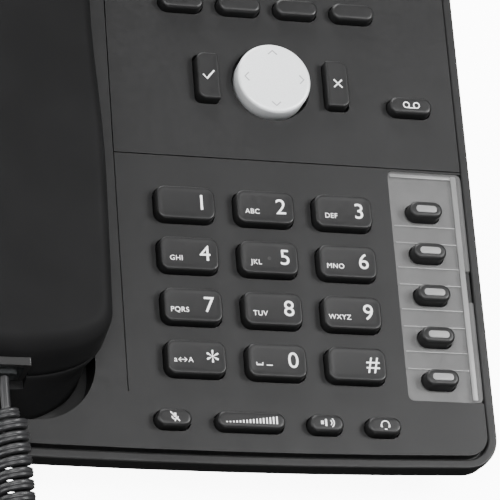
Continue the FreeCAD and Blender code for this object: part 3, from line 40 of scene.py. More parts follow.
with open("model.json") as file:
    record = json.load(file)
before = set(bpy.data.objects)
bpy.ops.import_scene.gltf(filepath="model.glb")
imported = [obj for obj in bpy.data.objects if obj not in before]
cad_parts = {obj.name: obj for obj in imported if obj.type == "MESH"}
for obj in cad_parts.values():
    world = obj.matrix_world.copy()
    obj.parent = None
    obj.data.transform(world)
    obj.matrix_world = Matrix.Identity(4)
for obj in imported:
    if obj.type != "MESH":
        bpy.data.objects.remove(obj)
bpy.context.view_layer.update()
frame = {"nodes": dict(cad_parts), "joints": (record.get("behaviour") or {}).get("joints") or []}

MM = 0.001
NODES = frame["nodes"]
LIFT = next(joint for joint in frame["joints"] if joint["name"] == "handset_lift")
OUT = Vector(LIFT["axis"]).normalized()
ACROSS = Vector((1.0, 0.0, 0.0))
UP = OUT.cross(ACROSS)


def extent(node, direction):
    """How far a node reaches along a direction, from the frame's origin, in mm."""
    reach = [vertex.co.dot(direction) / MM for vertex in NODES[node].data.vertices]
    return min(reach), max(reach)


def middle(node, direction):
    return sum(extent(node, direction)) / 2


ZERO = (
    middle("key_5", ACROSS),
    (middle("key_5", UP) + middle("key_8", UP)) / 2,
    extent("display_fascia", OUT)[1],
)


def at(across, up, out):
    """A place of the face frame, in mm, as a point of the model, in metres."""
    return (ACROSS * (across + ZERO[0]) + UP * (up + ZERO[1]) + OUT * (out + ZERO[2])) * MM


def reach(node):
    """A node's left, right, front, back, underside and top in the face frame, in mm."""
    return [edge - zero for direction, zero in zip((ACROSS, UP, OUT), ZERO)
            for edge in extent(node, direction)]


# ---------------------------------------------------------------------------------------------------
# camera

CAMERA_PLACE = (-236.1, -322.7, 712.4)
CAMERA_AIM = (-3.76, 9.11, 0.0)
CAMERA_ROLL = math.radians(15.13)
CAMERA_LENS = 257.2


def add_camera():
    data = bpy.data.cameras.new("camera")
    data.lens = CAMERA_LENS
    data.sensor_width = 36.0
    data.clip_end = 20.0
    camera = bpy.data.objects.new("camera", data)
    bpy.context.scene.collection.objects.link(camera)
    camera.location = at(*CAMERA_PLACE)
    look = (at(*CAMERA_AIM) - at(*CAMERA_PLACE)).to_track_quat("-Z", "Y")
    camera.rotation_mode = "QUATERNION"
    camera.rotation_quaternion = look @ Quaternion((0, 0, 1), CAMERA_ROLL)
    bpy.context.scene.camera = camera


# ---------------------------------------------------------------------------------------------------
# materials


def new_material(name, colour, roughness):
    """A Principled material: the material, its node tree and its shader."""
    material = bpy.data.materials.new(name)
    material.use_nodes = True
    shader = material.node_tree.nodes["Principled BSDF"]
    shader.inputs["Base Color"].default_value = (*colour, 1)
    shader.inputs["Roughness"].default_value = roughness
    return material, material.node_tree, shader


def noise(tree, scale, detail=2.0, stretch=(1, 1, 1)):
    """Noise in the object's own coordinates, in cells per metre."""
    place = tree.nodes.new("ShaderNodeTexCoord")
    mapping = tree.nodes.new("ShaderNodeMapping")
    mapping.inputs["Scale"].default_value = stretch
    texture = tree.nodes.new("ShaderNodeTexNoise")
    texture.inputs["Scale"].default_value = scale
    texture.inputs["Detail"].default_value = detail
    tree.links.new(place.outputs["Object"], mapping.inputs["Vector"])
    tree.links.new(mapping.outputs["Vector"], texture.inputs["Vector"])
    return texture.outputs["Fac"]


def vary(tree, factor, socket, low, high, start=0.35, end=0.65):
    """Drives a socket between two values or colours by a factor."""
    ramp = tree.nodes.new("ShaderNodeValToRGB")
    ramp.color_ramp.elements[0].position = start
    ramp.color_ramp.elements[1].position = end
    for element, level in zip(ramp.color_ramp.elements, (low, high)):
        element.color = (*level, 1) if isinstance(level, tuple) else (level, level, level, 1)
    tree.links.new(factor, ramp.inputs["Fac"])
    tree.links.new(ramp.outputs["Color"], socket)


def add_bump(tree, shader, height, distance, strength=1.0):
    bump = tree.nodes.new("ShaderNodeBump")
    bump.inputs["Distance"].default_value = distance
    bump.inputs["Strength"].default_value = strength
    tree.links.new(height, bump.inputs["Height"])
    tree.links.new(bump.outputs["Normal"], shader.inputs["Normal"])


def shade(colour, factor):
    return tuple(channel * factor for channel in colour)


def textured_plastic(name, colour, roughness, grain=4200, relief=0.000012, gloss=0.28):
    """Moulded plastic with a fine eroded grain, and a faint cloudiness in colour and gloss."""
    material, tree, shader = new_material(name, colour, roughness)
    shader.inputs["Specular IOR Level"].default_value = gloss
    cloud = noise(tree, 60, 3)
    vary(tree, cloud, shader.inputs["Base Color"], shade(colour, 0.9), shade(colour, 1.1))
    vary(tree, noise(tree, 900, 2), shader.inputs["Roughness"], roughness * 0.92, roughness * 1.08)
    add_bump(tree, shader, noise(tree, grain, 3), relief)
    return material


def smooth_plastic(name, colour, roughness):
    """Polished moulded plastic with the slightest flow marks."""
    material, tree, shader = new_material(name, colour, roughness)
    vary(tree, noise(tree, 150, 2), shader.inputs["Base Color"], shade(colour, 0.92), shade(colour, 1.08))
    add_bump(tree, shader, noise(tree, 250, 2), 0.000006)
    return material


def clear_plastic(name, colour, roughness, alpha):
    """A clear or smoky moulding that what lies under it shows through."""
    material, tree, shader = new_material(name, colour, roughness)
    shader.inputs["Alpha"].default_value = alpha
    vary(tree, noise(tree, 400, 2), shader.inputs["Roughness"], roughness * 0.8, roughness * 1.3)
    add_bump(tree, shader, noise(tree, 120, 1), 0.000004)
    return material


def metal(name, colour, roughness, stretch=(1, 1, 1)):
    """Brushed or plated metal, streaked along one direction by the stretch."""
    material, tree, shader = new_material(name, colour, roughness)
    shader.inputs["Metallic"].default_value = 1.0
    streak = noise(tree, 1500, 4, stretch)
    vary(tree, streak, shader.inputs["Roughness"], roughness * 0.7, roughness * 1.3)
    vary(tree, streak, shader.inputs["Base Color"], shade(colour, 0.85), shade(colour, 1.1))
    return material


def silver_paint():
    """Pearl silver paint on the round pad: fine flakes in a near white coat."""
    colour = (0.80, 0.82, 0.83)
    material, tree, shader = new_material("pad_silver", colour, 0.42)
    shader.inputs["Metallic"].default_value = 0.25
    flakes = noise(tree, 5200, 2)
    vary(tree, flakes, shader.inputs["Base Color"], shade(colour, 0.93), shade(colour, 1.05))
    add_bump(tree, shader, flakes, 0.000004)
    return material


def paper():
    """Card with a slight fibre."""
    colour = (0.12, 0.12, 0.12)
    material, tree, shader = new_material("paper_grey", colour, 0.8)
    fibre = noise(tree, 1800, 5, (1, 0.3, 1))
    vary(tree, fibre, shader.inputs["Base Color"], shade(colour, 0.94), shade(colour, 1.06))
    add_bump(tree, shader, fibre, 0.00001)
    return material


def board_mask():
    """Green solder mask over copper traces that show as faint lighter bands."""
    colour = (0.015, 0.10, 0.045)
    material, tree, shader = new_material("board_green", colour, 0.35)
    place = tree.nodes.new("ShaderNodeTexCoord")
    bricks = tree.nodes.new("ShaderNodeTexBrick")
    bricks.inputs["Scale"].default_value = 160
    bricks.inputs["Color1"].default_value = (*colour, 1)
    bricks.inputs["Color2"].default_value = (*shade(colour, 0.85), 1)
    bricks.inputs["Mortar"].default_value = (*shade(colour, 1.7), 1)
    tree.links.new(place.outputs["Object"], bricks.inputs["Vector"])
    tree.links.new(bricks.outputs["Color"], shader.inputs["Base Color"])
    return material


BLACK = (0.0100, 0.0100, 0.0102)
MATERIALS = {
    "housing_black": textured_plastic("housing_black", BLACK, 0.44),
    "fascia_black": textured_plastic("fascia_black", BLACK, 0.43),
    "key_black": textured_plastic("key_black", (0.0100, 0.0100, 0.0102), 0.42, 5200, 0.000006),
    "handset_black": textured_plastic("handset_black", (0.0080, 0.0080, 0.0082), 0.54, gloss=0.04),
    "pad_silver": silver_paint(),
    "label_clear": clear_plastic("label_clear", (0.14, 0.14, 0.14), 0.3, 0.35),
    "paper_grey": paper(),
    "lens_clear": clear_plastic("lens_clear", (0.02, 0.024, 0.024), 0.06, 0.35),
    "lcd_grey": smooth_plastic("lcd_grey", (0.24, 0.28, 0.25), 0.35),
    "light_red": smooth_plastic("light_red", (0.30, 0.012, 0.012), 0.18),
    "board_green": board_mask(),
    "mat_grey": textured_plastic("mat_grey", (0.33, 0.33, 0.34), 0.7, 1500),
    "foot_rubber": textured_plastic("foot_rubber", (0.035, 0.035, 0.035), 0.85, 1200, 0.00003),
    "screw_steel": metal("screw_steel", (0.55, 0.56, 0.58), 0.3, (1, 6, 1)),
    "jack_plastic": smooth_plastic("jack_plastic", (0.022, 0.022, 0.022), 0.28),
    "plug_clear": clear_plastic("plug_clear", (0.030, 0.032, 0.033), 0.2, 0.55),
    "cord_black": textured_plastic("cord_black", (0.020, 0.020, 0.021), 0.36, 2500, 0.000008),
    "capsule_metal": metal("capsule_metal", (0.50, 0.50, 0.52), 0.35),
    "speaker_black": textured_plastic("speaker_black", (0.05, 0.05, 0.05), 0.5, 2000),
    "legend_white": smooth_plastic("legend_white", (0.78, 0.78, 0.78), 0.5),
    "legend_grey": smooth_plastic("legend_grey", (0.30, 0.31, 0.32), 0.5),
    "line_light": smooth_plastic("line_light", (0.21, 0.21, 0.21), 0.4),
    "lamp_grey": smooth_plastic("lamp_grey", (0.19, 0.19, 0.19), 0.35),
    "label_lip": smooth_plastic("label_lip", (0.15, 0.15, 0.15), 0.35),
    "mark_black": smooth_plastic("mark_black", (0.010, 0.010, 0.010), 0.5),
}

FINISHES = {
    "housing_black": ("upper_housing", "lower_housing", "rim_frame", "foot_stand", "hook_switch"),
    "fascia_black": ("display_fascia",),
    "key_black": ("nav_rocker",),
    "label_clear": ("label_cover",),
    "paper_grey": ("label_strip",),
    "lens_clear": ("display_lens",),
    "lcd_grey": ("lcd_module",),
    "light_red": ("message_light",),
    "board_green": ("main_board",),
    "mat_grey": ("key_mat",),
    "foot_rubber": ("rubber_feet", "stand_feet"),
    "screw_steel": ("housing_screws",),
    "jack_plastic": ("network_jacks", "cord_jacks", "handset_socket", "power_inlet"),
    "plug_clear": ("handset_plug", "base_plug"),
    "capsule_metal": ("receiver_capsule", "transmitter_capsule"),
    "speaker_black": ("loudspeaker",),
}


def finish_cad_nodes():
    for name, nodes in FINISHES.items():
        for node in nodes:
            mesh = NODES[node].data
            mesh.materials.clear()
            mesh.materials.append(MATERIALS[name])


# ---------------------------------------------------------------------------------------------------
# mesh tools


def add_piece(name, mesh, material, body, crease=35):
    """A mesh as a smooth shaded piece that rides on a body; edges over the crease angle stay sharp."""
    piece = bpy.data.objects.new(name, mesh)
    bpy.context.scene.collection.objects.link(piece)
    mesh.materials.clear()
    mesh.materials.append(MATERIALS[material])
    mesh.shade_smooth()
    mesh.set_sharp_from_angle(angle=math.radians(crease))
    if body:
        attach(piece, body)
    return piece


def mesh_from(name, points, faces):
    mesh = bpy.data.meshes.new(name)
    mesh.from_pydata([tuple(point) for point in points], [], faces)
    form = bmesh.new()
    form.from_mesh(mesh)
    bmesh.ops.remove_doubles(form, verts=form.verts, dist=1e-6)
    bmesh.ops.recalc_face_normals(form, faces=form.faces)
    form.to_mesh(mesh)
    form.free()
    return mesh


def loft(name, rings):
    """A closed mesh over rings of equal length, each a list of points, with flat ends."""
    count = len(rings[0])
    points = [point for ring in rings for point in ring]
    faces = [tuple(range(count)), tuple(range(len(points) - count, len(points)))]
    for ring in range(len(rings) - 1):
        for side in range(count):
            here, after = ring * count, (side + 1) % count
            faces.append((here + side, here + after, here + count + after, here + count + side))
    return mesh_from(name, points, faces)


def rounded(long, wide, corners, steps=8):
    """A rectangle about zero with round corners, anticlockwise from the right front. corners is one
    radius, or four: right front, right back, left back, left front."""
    radii = corners if isinstance(corners, tuple) else (corners,) * 4
    outline = []
    for quarter, radius in enumerate(radii):
        centre_x = (long / 2 - radius) * (1 if quarter in (0, 1) else -1)
        centre_y = (wide / 2 - radius) * (1 if quarter in (1, 2) else -1)
        for step in range(steps + 1):
            angle = math.radians(-90 + 90 * (quarter + step / steps))
            outline.append((centre_x + radius * math.cos(angle), centre_y + radius * math.sin(angle)))
    return outline


def grown(radii, by):
    if isinstance(radii, tuple):
        return tuple(max(radius + by, 0.15) for radius in radii)
    return max(radii + by, 0.15)


# ---------------------------------------------------------------------------------------------------
# handset cord

# The route of the cord's middle line in the model's own frame, in metres, from the handset to the base.
LEAD_TOP = ((-0.0425, -0.0828, 0.0277), (-0.0425, -0.0883, 0.0248))
COIL = (
    (-0.0409, -0.1015, 0.0158),
    (-0.0399, -0.1180, 0.00475),
    (-0.0388, -0.1375, 0.00475),
    (-0.0490, -0.1580, 0.00475),
    (-0.0725, -0.1665, 0.00475),
    (-0.0960, -0.1560, 0.00475),
    (-0.1060, -0.1330, 0.00475),
    (-0.1035, -0.1050, 0.00475),
    (-0.1075, -0.0770, 0.00475),
    (-0.1055, -0.0510, 0.00475),
)
LEAD_BASE = (
    (-0.1057, -0.0370, 0.0050),
    (-0.1040, -0.0240, 0.0110),
    (-0.0995, -0.0150, 0.0220),
    (-0.0910, -0.0118, 0.0320),
    (-0.0810, -0.01117, 0.03815),
    (-0.07125, -0.01117, 0.03815),
)
TOP_LEAD_LONG = 0.0070
BASE_LEAD_LONG = 0.0720
COIL_RADIUS = 0.0034
COIL_PITCH = 0.0027
TURN_STEPS = 20
RAMP = 0.0030
WIRE_WIDE = 0.0023
WIRE_THICK = 0.0019
RIB_HIGH = 0.00012


def route_line(points):
    """The smooth line of a route: a NURBS curve with those points as its control points."""
    curve = bpy.data.curves.new("route", "CURVE")
    curve.dimensions = "3D"
    curve.resolution_u = 24
    spline = curve.splines.new("NURBS")
    spline.points.add(len(points) - 1)
    for target, point in zip(spline.points, points):
        target.co = (*point, 1)
    spline.order_u = 3
    spline.use_endpoint_u = True
    holder = bpy.data.objects.new("route", curve)
    mesh = bpy.data.meshes.new_from_object(holder)
    line = [vertex.co.copy() for vertex in mesh.vertices]
    bpy.data.objects.remove(holder)
    bpy.data.curves.remove(curve)
    bpy.data.meshes.remove(mesh)
    return line


def walk(line, spacing):
    """Points along a line at an even spacing, with a sideways direction carried along without twist."""
    lengths = [0.0]
    for here, after in zip(line, line[1:]):
        lengths.append(lengths[-1] + (after - here).length)
    count = round(lengths[-1] / spacing)
    side = (line[1] - line[0]).cross(Vector((0, 0, 1))).normalized()
    places = []
    segment = 0
    for step in range(count + 1):
        distance = lengths[-1] * step / count
        while segment < len(line) - 2 and lengths[segment + 1] < distance:
            segment += 1
        share = (distance - lengths[segment]) / (lengths[segment + 1] - lengths[segment])
        ahead = (line[segment + 1] - line[segment]).normalized()
        side = (side - ahead * side.dot(ahead)).normalized()
        places.append((distance, line[segment].lerp(line[segment + 1], share), ahead, side))
    return places


def wire_outline():
    """Across the wire: flat and wide, with three ribs on its outer face. Pairs of sideways, outward."""
    outer, inner = 14, 5
    outline = []
    for step in range(outer + 1):
        sideways = math.cos(math.pi * step / outer)
        rib = RIB_HIGH * math.cos(3 * math.pi * sideways) * (1 - sideways ** 8)
        bulge = WIRE_THICK / 2 * (1 - abs(sideways) ** 3) ** (1 / 3)
        outline.append((WIRE_WIDE / 2 * sideways, bulge + rib))
    for step in range(1, inner):
        angle = math.pi + math.pi * step / inner
        outline.append((WIRE_WIDE / 2 * math.cos(angle), WIRE_THICK / 2 * math.sin(angle)))
    return outline


def add_cord():
    places = walk(route_line(LEAD_TOP + COIL + LEAD_BASE), COIL_PITCH / TURN_STEPS)
    total = places[-1][0]
    coil_start, coil_end = TOP_LEAD_LONG, total - BASE_LEAD_LONG
    turns = round((coil_end - coil_start) / COIL_PITCH)
    path = []
    outward = []
    for distance, point, ahead, side in places:
        share = min(max((distance - coil_start) / (coil_end - coil_start), 0), 1)
        inside = min(distance - coil_start, coil_end - distance)
        ramp = min(max(inside / RAMP, 0), 1)
        swing = COIL_RADIUS * ramp * ramp * (3 - 2 * ramp)
        # The straight leads need far fewer rings than the coil.
        if inside < -2 * COIL_PITCH and path and (point - path[-1]).length < COIL_PITCH / 2:
            continue
        angle = 2 * math.pi * turns * share
        radial = side * math.cos(angle) + ahead.cross(side) * math.sin(angle)
        path.append(point + radial * swing)
        outward.append(radial)
    outline = wire_outline()
    rings = []
    for number, point in enumerate(path):
        ahead = (path[min(number + 1, len(path) - 1)] - path[max(number - 1, 0)]).normalized()
        out = (outward[number] - ahead * outward[number].dot(ahead)).normalized()
        across = ahead.cross(out)
        rings.append([point + across * x + out * y for x, y in outline])
    cord = add_piece("handset_cord", loft("handset_cord", rings), "cord_black", None, 70)
    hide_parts("cord_coil", "cord_lead_top", "cord_lead_base")
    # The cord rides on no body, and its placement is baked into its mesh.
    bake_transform(cord)


# ---------------------------------------------------------------------------------------------------
# handset

# Heights in the face frame, in mm: the underside of both ends, the parting line and the top's edge.
HAND_FOOT = -8.0
HAND_PARTING = 6.5
HAND_TOP = 16.0
GRIP_UNDER = 4.5
# Along the handset: its ends, and the slope from each end's underside to the grip's.
HAND_ENDS = (-33.3, 153.6)
HAND_MIDDLE = 60.15
THROATS = ((8.7, 17.7), (104.6, 113.6))
HALF_FOOT = 21.5
HALF_WIDE = 23.75
WAIST = 1.7
WAIST_LONG = 42.0
END_LEAN = 9.5
# The round of each end in plan: its depth at the underside and at the top, and its power.
END_DEPTH = (17.0, 10.5)
END_POWER = 2.3
ARCH = 900.0
CROWN = 0.6
EDGE_ROUND = 3.2
# The sides widen from the foot's width to the full width over this stretch of height.
WIDEN_FROM = 0.5
WIDEN_OVER = 6
END_STEPS = 24
SIDE_STEPS = 60
# The depth of the seam at the parting line, and the height of a row of the bottom, which is also the
# rounding of its underside.
SEAM_DEEP = 0.5
ROW = 1.2
SLOT = (10, 1.5, 0.7)
SLOT_PITCH = 3.5
SLOT_DEEP = 2.2


def smooth(value):
    """Eases from 0 to 1."""
    value = min(max(value, 0), 1)
    return value * value * (3 - 2 * value)


def hand_outline(height, inset):
    """Half of the handset's outline at a height, from the front's middle round the right side to the
    back's middle: pairs of across and up, in mm, with across from the handset's own middle."""
    share = (height - HAND_FOOT) / (HAND_TOP - HAND_FOOT)
    half = HALF_FOOT + (HALF_WIDE - HALF_FOOT) * smooth((height - WIDEN_FROM) / WIDEN_OVER)
    half -= inset
    depth = END_DEPTH[0] + (END_DEPTH[1] - END_DEPTH[0]) * share - inset * 0.3
    front = HAND_ENDS[0] + END_LEAN * share + inset
    back = HAND_ENDS[1] - END_LEAN * share - inset
    end = []
    for step in range(END_STEPS + 1):
        angle = math.radians(90 * step / END_STEPS)
        end.append((half * math.sin(angle) ** (2 / END_POWER),
                    depth * (1 - max(math.cos(angle), 0) ** (2 / END_POWER))))
    places = [(across, front + along) for across, along in end]
    side_long = back - front - 2 * depth
    places += [(half, front + depth + side_long * step / SIDE_STEPS) for step in range(1, SIDE_STEPS)]
    places += [(across, back - along) for across, along in reversed(end)]
    pulled = []
    for across, up in places:
        from_middle = min(abs(up - HAND_MIDDLE) / WAIST_LONG, 1)
        waist = WAIST * (1 + math.cos(math.pi * from_middle)) / 2
        pulled.append((across * (1 - waist / half), up))
    return pulled


def hand_height(level, across, up):
    """The height of a point of the handset: its level, squeezed between the underside and the arch."""
    near, far = THROATS
    rise = smooth((up - near[0]) / (near[1] - near[0])) - smooth((up - far[0]) / (far[1] - far[0]))
    under = HAND_FOOT + (GRIP_UNDER - HAND_FOOT) * rise
    half_long = (HAND_ENDS[1] - HAND_ENDS[0]) / 2 - END_LEAN
    top = HAND_TOP + (half_long ** 2 - (up - HAND_MIDDLE) ** 2) / (2 * ARCH)
    top -= CROWN * (across / HALF_WIDE) ** 2
    if level <= HAND_PARTING:
        return under + (HAND_PARTING - under) * (level - HAND_FOOT) / (HAND_PARTING - HAND_FOOT)
    return HAND_PARTING + (top - HAND_PARTING) * (level - HAND_PARTING) / (HAND_TOP - HAND_PARTING)


def hand_shell(name, levels):
    """A closed half of the handset over levels of height, inset and width kept, from under to top."""
    centre = middle("handset_outer_shell", ACROSS) - ZERO[0]
    points, faces = [], []
    for level, inset, kept in levels:
        half = [(across * kept, up) for across, up in hand_outline(level, inset)]
        ring = half + [(-across, up) for across, up in reversed(half[1:-1])]
        points += [at(centre + across, up, hand_height(level, across, up)) for across, up in ring]
    count = len(ring)
    for row in range(0, len(points) - count, count):
        for side in range(count):
            after = (side + 1) % count
            faces.append((row + side, row + after, row + count + after, row + count + side))
    for row in (0, len(points) - count):
        for side in range(len(half) - 1):
            left, left_after = (count - side) % count, count - side - 1
            faces.append((row + side, row + side + 1, row + left_after, row + left))
    return mesh_from(name, points, faces)


def cut_away(mesh, cutters):
    """The mesh with closed cutter meshes taken out of it."""
    whole = bpy.data.objects.new("whole", mesh)
    bpy.context.scene.collection.objects.link(whole)
    tools = []
    for number, cutter in enumerate(cutters):
        tool = bpy.data.objects.new(f"cutter_{number}", cutter)
        bpy.context.scene.collection.objects.link(tool)
        modifier = whole.modifiers.new(f"cut_{number}", "BOOLEAN")
        modifier.operation = "DIFFERENCE"
        modifier.solver = "EXACT"
        modifier.object = tool
        tools.append(tool)
    graph = bpy.context.evaluated_depsgraph_get()
    result = bpy.data.meshes.new_from_object(whole.evaluated_get(graph))
    for item in tools + [whole]:
        bpy.data.objects.remove(item)
    return result


def jack_notch():
    """The notch in the handset's front end, from in front of it to the back of the socket in it."""
    left, right, _, back, under, top = reach("handset_socket")
    spare = 0.1
    corners = ((left - spare, under - spare), (right + spare, under - spare),
               (right + spare, top + spare), (left - spare, top + spare))
    rings = [[at(across, up, out) for across, out in corners] for up in (-45.0, back + spare)]
    return loft("notch", rings)


def sound_slots():
    """Three slots in the underside of each end, before the microphone and before the receiver."""
    slots = []
    for node in ("transmitter_capsule", "receiver_capsule"):
        centre, along = middle(node, ACROSS) - ZERO[0], middle(node, UP) - ZERO[1]
        for number in (-1, 0, 1):
            rings = [[at(centre + x, along + SLOT_PITCH * number + y, out) for x, y in rounded(*SLOT, 4)]
                     for out in (HAND_FOOT - 2, HAND_FOOT + SLOT_DEEP)]
            slots.append(loft("slot", rings))
    return slots


def bottom_levels():
    """The bottom's levels: a rounded underside, straight sides and a lip turned in at the seam."""
    levels = [(HAND_FOOT, ROW, kept) for kept in (0.3, 0.65, 1.0)]
    levels += [(HAND_FOOT + 0.35, 0.35, 1.0), (HAND_FOOT + ROW, 0.0, 1.0)]
    levels += [(HAND_FOOT + ROW + ROW * step, 0.0, 1.0) for step in range(1, 11)]
    levels += [(HAND_PARTING - 0.45, 0.0, 1.0), (HAND_PARTING - 0.25, 0.12, 1.0)]
    return levels + [(HAND_PARTING - 0.15, SEAM_DEEP, kept) for kept in (1.0, 0.6, 0.2)]


def cover_levels():
    """The cover's levels: a lip turned in at the seam, straight sides, a round edge and the top."""
    levels = [(HAND_PARTING, SEAM_DEEP, kept) for kept in (0.2, 0.6, 1.0)]
    levels += [(HAND_PARTING + 0.1, 0.12, 1.0), (HAND_PARTING + 0.3, 0.0, 1.0)]
    levels += [(HAND_PARTING + 0.3 + ROW * step, 0.0, 1.0) for step in range(1, 5)]
    for step in range(1, 9):
        angle = math.radians(90 * step / 8)
        levels.append((HAND_TOP - EDGE_ROUND * (1 - math.sin(angle)),
                       EDGE_ROUND * (1 - math.cos(angle)), 1.0))
    return levels + [(HAND_TOP, EDGE_ROUND, kept) for kept in (0.9, 0.75, 0.5, 0.25)]


def add_handset():
    notch = jack_notch()
    bottom = cut_away(hand_shell("handset_bottom", bottom_levels()), [notch] + sound_slots())
    cover = cut_away(hand_shell("handset_cover", cover_levels()), [notch])
    for name, mesh, node in (("handset_bottom", bottom, "handset_inner_shell"),
                             ("handset_cover", cover, "handset_outer_shell")):
        piece = add_piece(name, mesh, "handset_black", "handset", 40)
        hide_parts(node)


# ---------------------------------------------------------------------------------------------------
# keys

# How far a key's flange stands out beyond its cap, in the CAD nodes.
FLANGE = 0.75
SIDE_DEEP = 3.0
BEVEL_STEPS = 5
# The small keys beside the pad: the corner radius on the side towards it and on the far side.
NEAR_CORNER, FAR_CORNER = 0.5, 2.0
# kind: corner radius, width of the bevel, height of the bevel, dish of the top
KEY_FORMS = {
    "dial": (2.2, 0.55, 0.75, 0.10),
    "side": (1.4, 0.50, 0.70, 0.06),
    "pill": (2.05, 0.85, 0.90, 0.0),
}
DIAL_LEGENDS = {
    "1": "", "2": "ABC", "3": "DEF", "4": "GHI", "5": "JKL", "6": "MNO",
    "7": "PQRS", "8": "TUV", "9": "WXYZ", "star": "", "0": "", "hash": "",
}
DIAL_SIGNS = {"star": "*", "hash": "#"}
DIAL_KEYS = [f"key_{label}" for label in DIAL_LEGENDS]
SIDE_KEYS = ["ok_key", "cancel_key"]
LINE_KEYS = [f"line_key_{number}" for number in range(1, 6)]
PILL_KEYS = [f"soft_key_{number}" for number in range(1, 5)] + LINE_KEYS + [
    "voicemail_key", "mute_key", "volume_rocker", "speaker_key", "headset_key"]


def key_top(node):
    """A key's middle and the height of its top, in the face frame: across, up, out."""
    left, right, front, back, under, top = reach(node)
    return (left + right) / 2, (front + back) / 2, top


def add_key(node, kind):
    """A cap over a CAD key: straight sides, a rounded bevel and a slightly dished top."""
    left, right, front, back, under, top = reach(node)
    corner, bevel, deep, dish = KEY_FORMS[kind]
    long, wide = right - left - 2 * FLANGE, back - front - 2 * FLANGE
    if node == "ok_key":
        corner = (NEAR_CORNER, NEAR_CORNER, FAR_CORNER, FAR_CORNER)
    if node == "cancel_key":
        corner = (FAR_CORNER, FAR_CORNER, NEAR_CORNER, NEAR_CORNER)
    across, up, top = key_top(node)
    levels = [(0, -SIDE_DEEP), (0, top - deep)]
    for step in range(1, BEVEL_STEPS + 1):
        angle = math.radians(90 * step / BEVEL_STEPS)
        levels.append((bevel * (1 - math.cos(angle)), top - deep * (1 - math.sin(angle))))
    levels += [(bevel + 0.45, top - dish * 0.6), (bevel + 1.0, top - dish)]
    rings = []
    for inset, height in levels:
        ring = rounded(long - 2 * inset, wide - 2 * inset, grown(corner, -inset))
        rings.append([at(across + x, up + y, height) for x, y in ring])
    cap = add_piece(f"{node}_cap", loft(f"{node}_cap", rings), "key_black", node, 50)
    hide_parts(node)


def add_keys():
    """A cap over every key that is pressed or tilted, apart from the round pad."""
    for kind, nodes in (("dial", DIAL_KEYS), ("side", SIDE_KEYS), ("pill", PILL_KEYS)):
        for node in nodes:
            add_key(node, kind)


# ---------------------------------------------------------------------------------------------------
# legends

PRINT_HIGH = 0.03
PRINT_SINK = 0.12
# A font's capitals are this share of its size.
CAPITAL_SHARE = 0.72
DIGIT_HIGH, STAR_HIGH, LETTER_HIGH = 3.9, 5.0, 1.25
DIGIT_ACROSS = 3.7
STAR_DROP = 1.1
LETTERS_AT = (-3.2, -1.3)


def print_on(name, mesh, place, material, body):
    """Lays a flat mesh, drawn in mm, on a surface at a place of the face frame."""
    across, up, out = place
    for vertex in mesh.vertices:
        vertex.co = at(across + vertex.co.x, up + vertex.co.y, out + vertex.co.z)
    return add_piece(name, mesh, material, body)


def text_mesh(words, size):
    """Words as a raised print, in mm, centred on zero; size is the height of a capital."""
    data = bpy.data.curves.new("words", "FONT")
    data.body = words
    data.size = size / CAPITAL_SHARE
    data.align_x = "CENTER"
    data.align_y = "CENTER"
    data.extrude = (PRINT_HIGH + PRINT_SINK) / 2
    data.space_character = 1.08
    holder = bpy.data.objects.new("words", data)
    mesh = bpy.data.meshes.new_from_object(holder)
    bpy.data.objects.remove(holder)
    bpy.data.curves.remove(data)
    for vertex in mesh.vertices:
        vertex.co.z += (PRINT_HIGH - PRINT_SINK) / 2
    return mesh


def arc(centre, radius, start, end, steps=14):
    """Points of an arc between two angles, in degrees."""
    points = []
    for step in range(steps + 1):
        angle = math.radians(start + (end - start) * step / steps)
        points.append((centre[0] + radius * math.cos(angle), centre[1] + radius * math.sin(angle)))
    return points


def stroke_mesh(name, lines, width):
    """Lines of an even width as one raised print, in mm."""
    points, faces = [], []
    for line in lines:
        start = len(points)
        places = [Vector((*point, 0)) for point in line]
        for number, place in enumerate(places):
            before, after = places[max(number - 1, 0)], places[min(number + 1, len(places) - 1)]
            ahead = (after - before).normalized()
            side = Vector((-ahead.y, ahead.x, 0)) * width / 2
            if 0 < number < len(places) - 1:
                turn = (place - before).normalized().dot((after - place).normalized())
                side /= math.sqrt(max((1 + turn) / 2, 0.3))
            for offset, height in ((side, -PRINT_SINK), (side, PRINT_HIGH), (-side, PRINT_HIGH),
                                   (-side, -PRINT_SINK)):
                points.append(place + offset + Vector((0, 0, height)))
        last = start + 4 * (len(places) - 1)
        faces += [(start, start + 1, start + 2, start + 3), (last, last + 1, last + 2, last + 3)]
        for row in range(start, last, 4):
            for side in range(4):
                after = (side + 1) % 4
                faces.append((row + side, row + after, row + 4 + after, row + 4 + side))
    mesh = bpy.data.meshes.new(name)
    mesh.from_pydata([tuple(point) for point in points], [], faces)
    form = bmesh.new()
    form.from_mesh(mesh)
    bmesh.ops.recalc_face_normals(form, faces=form.faces)
    form.to_mesh(mesh)
    form.free()
    return mesh


def print_strokes(name, lines, width, node, shift=(0, 0), material="legend_white"):
    across, up, top = key_top(node)
    place = (across + shift[0], up + shift[1], top - KEY_FORMS["dial"][3] * (node in DIAL_KEYS))
    print_on(name, stroke_mesh(name, lines, width), place, material, node)


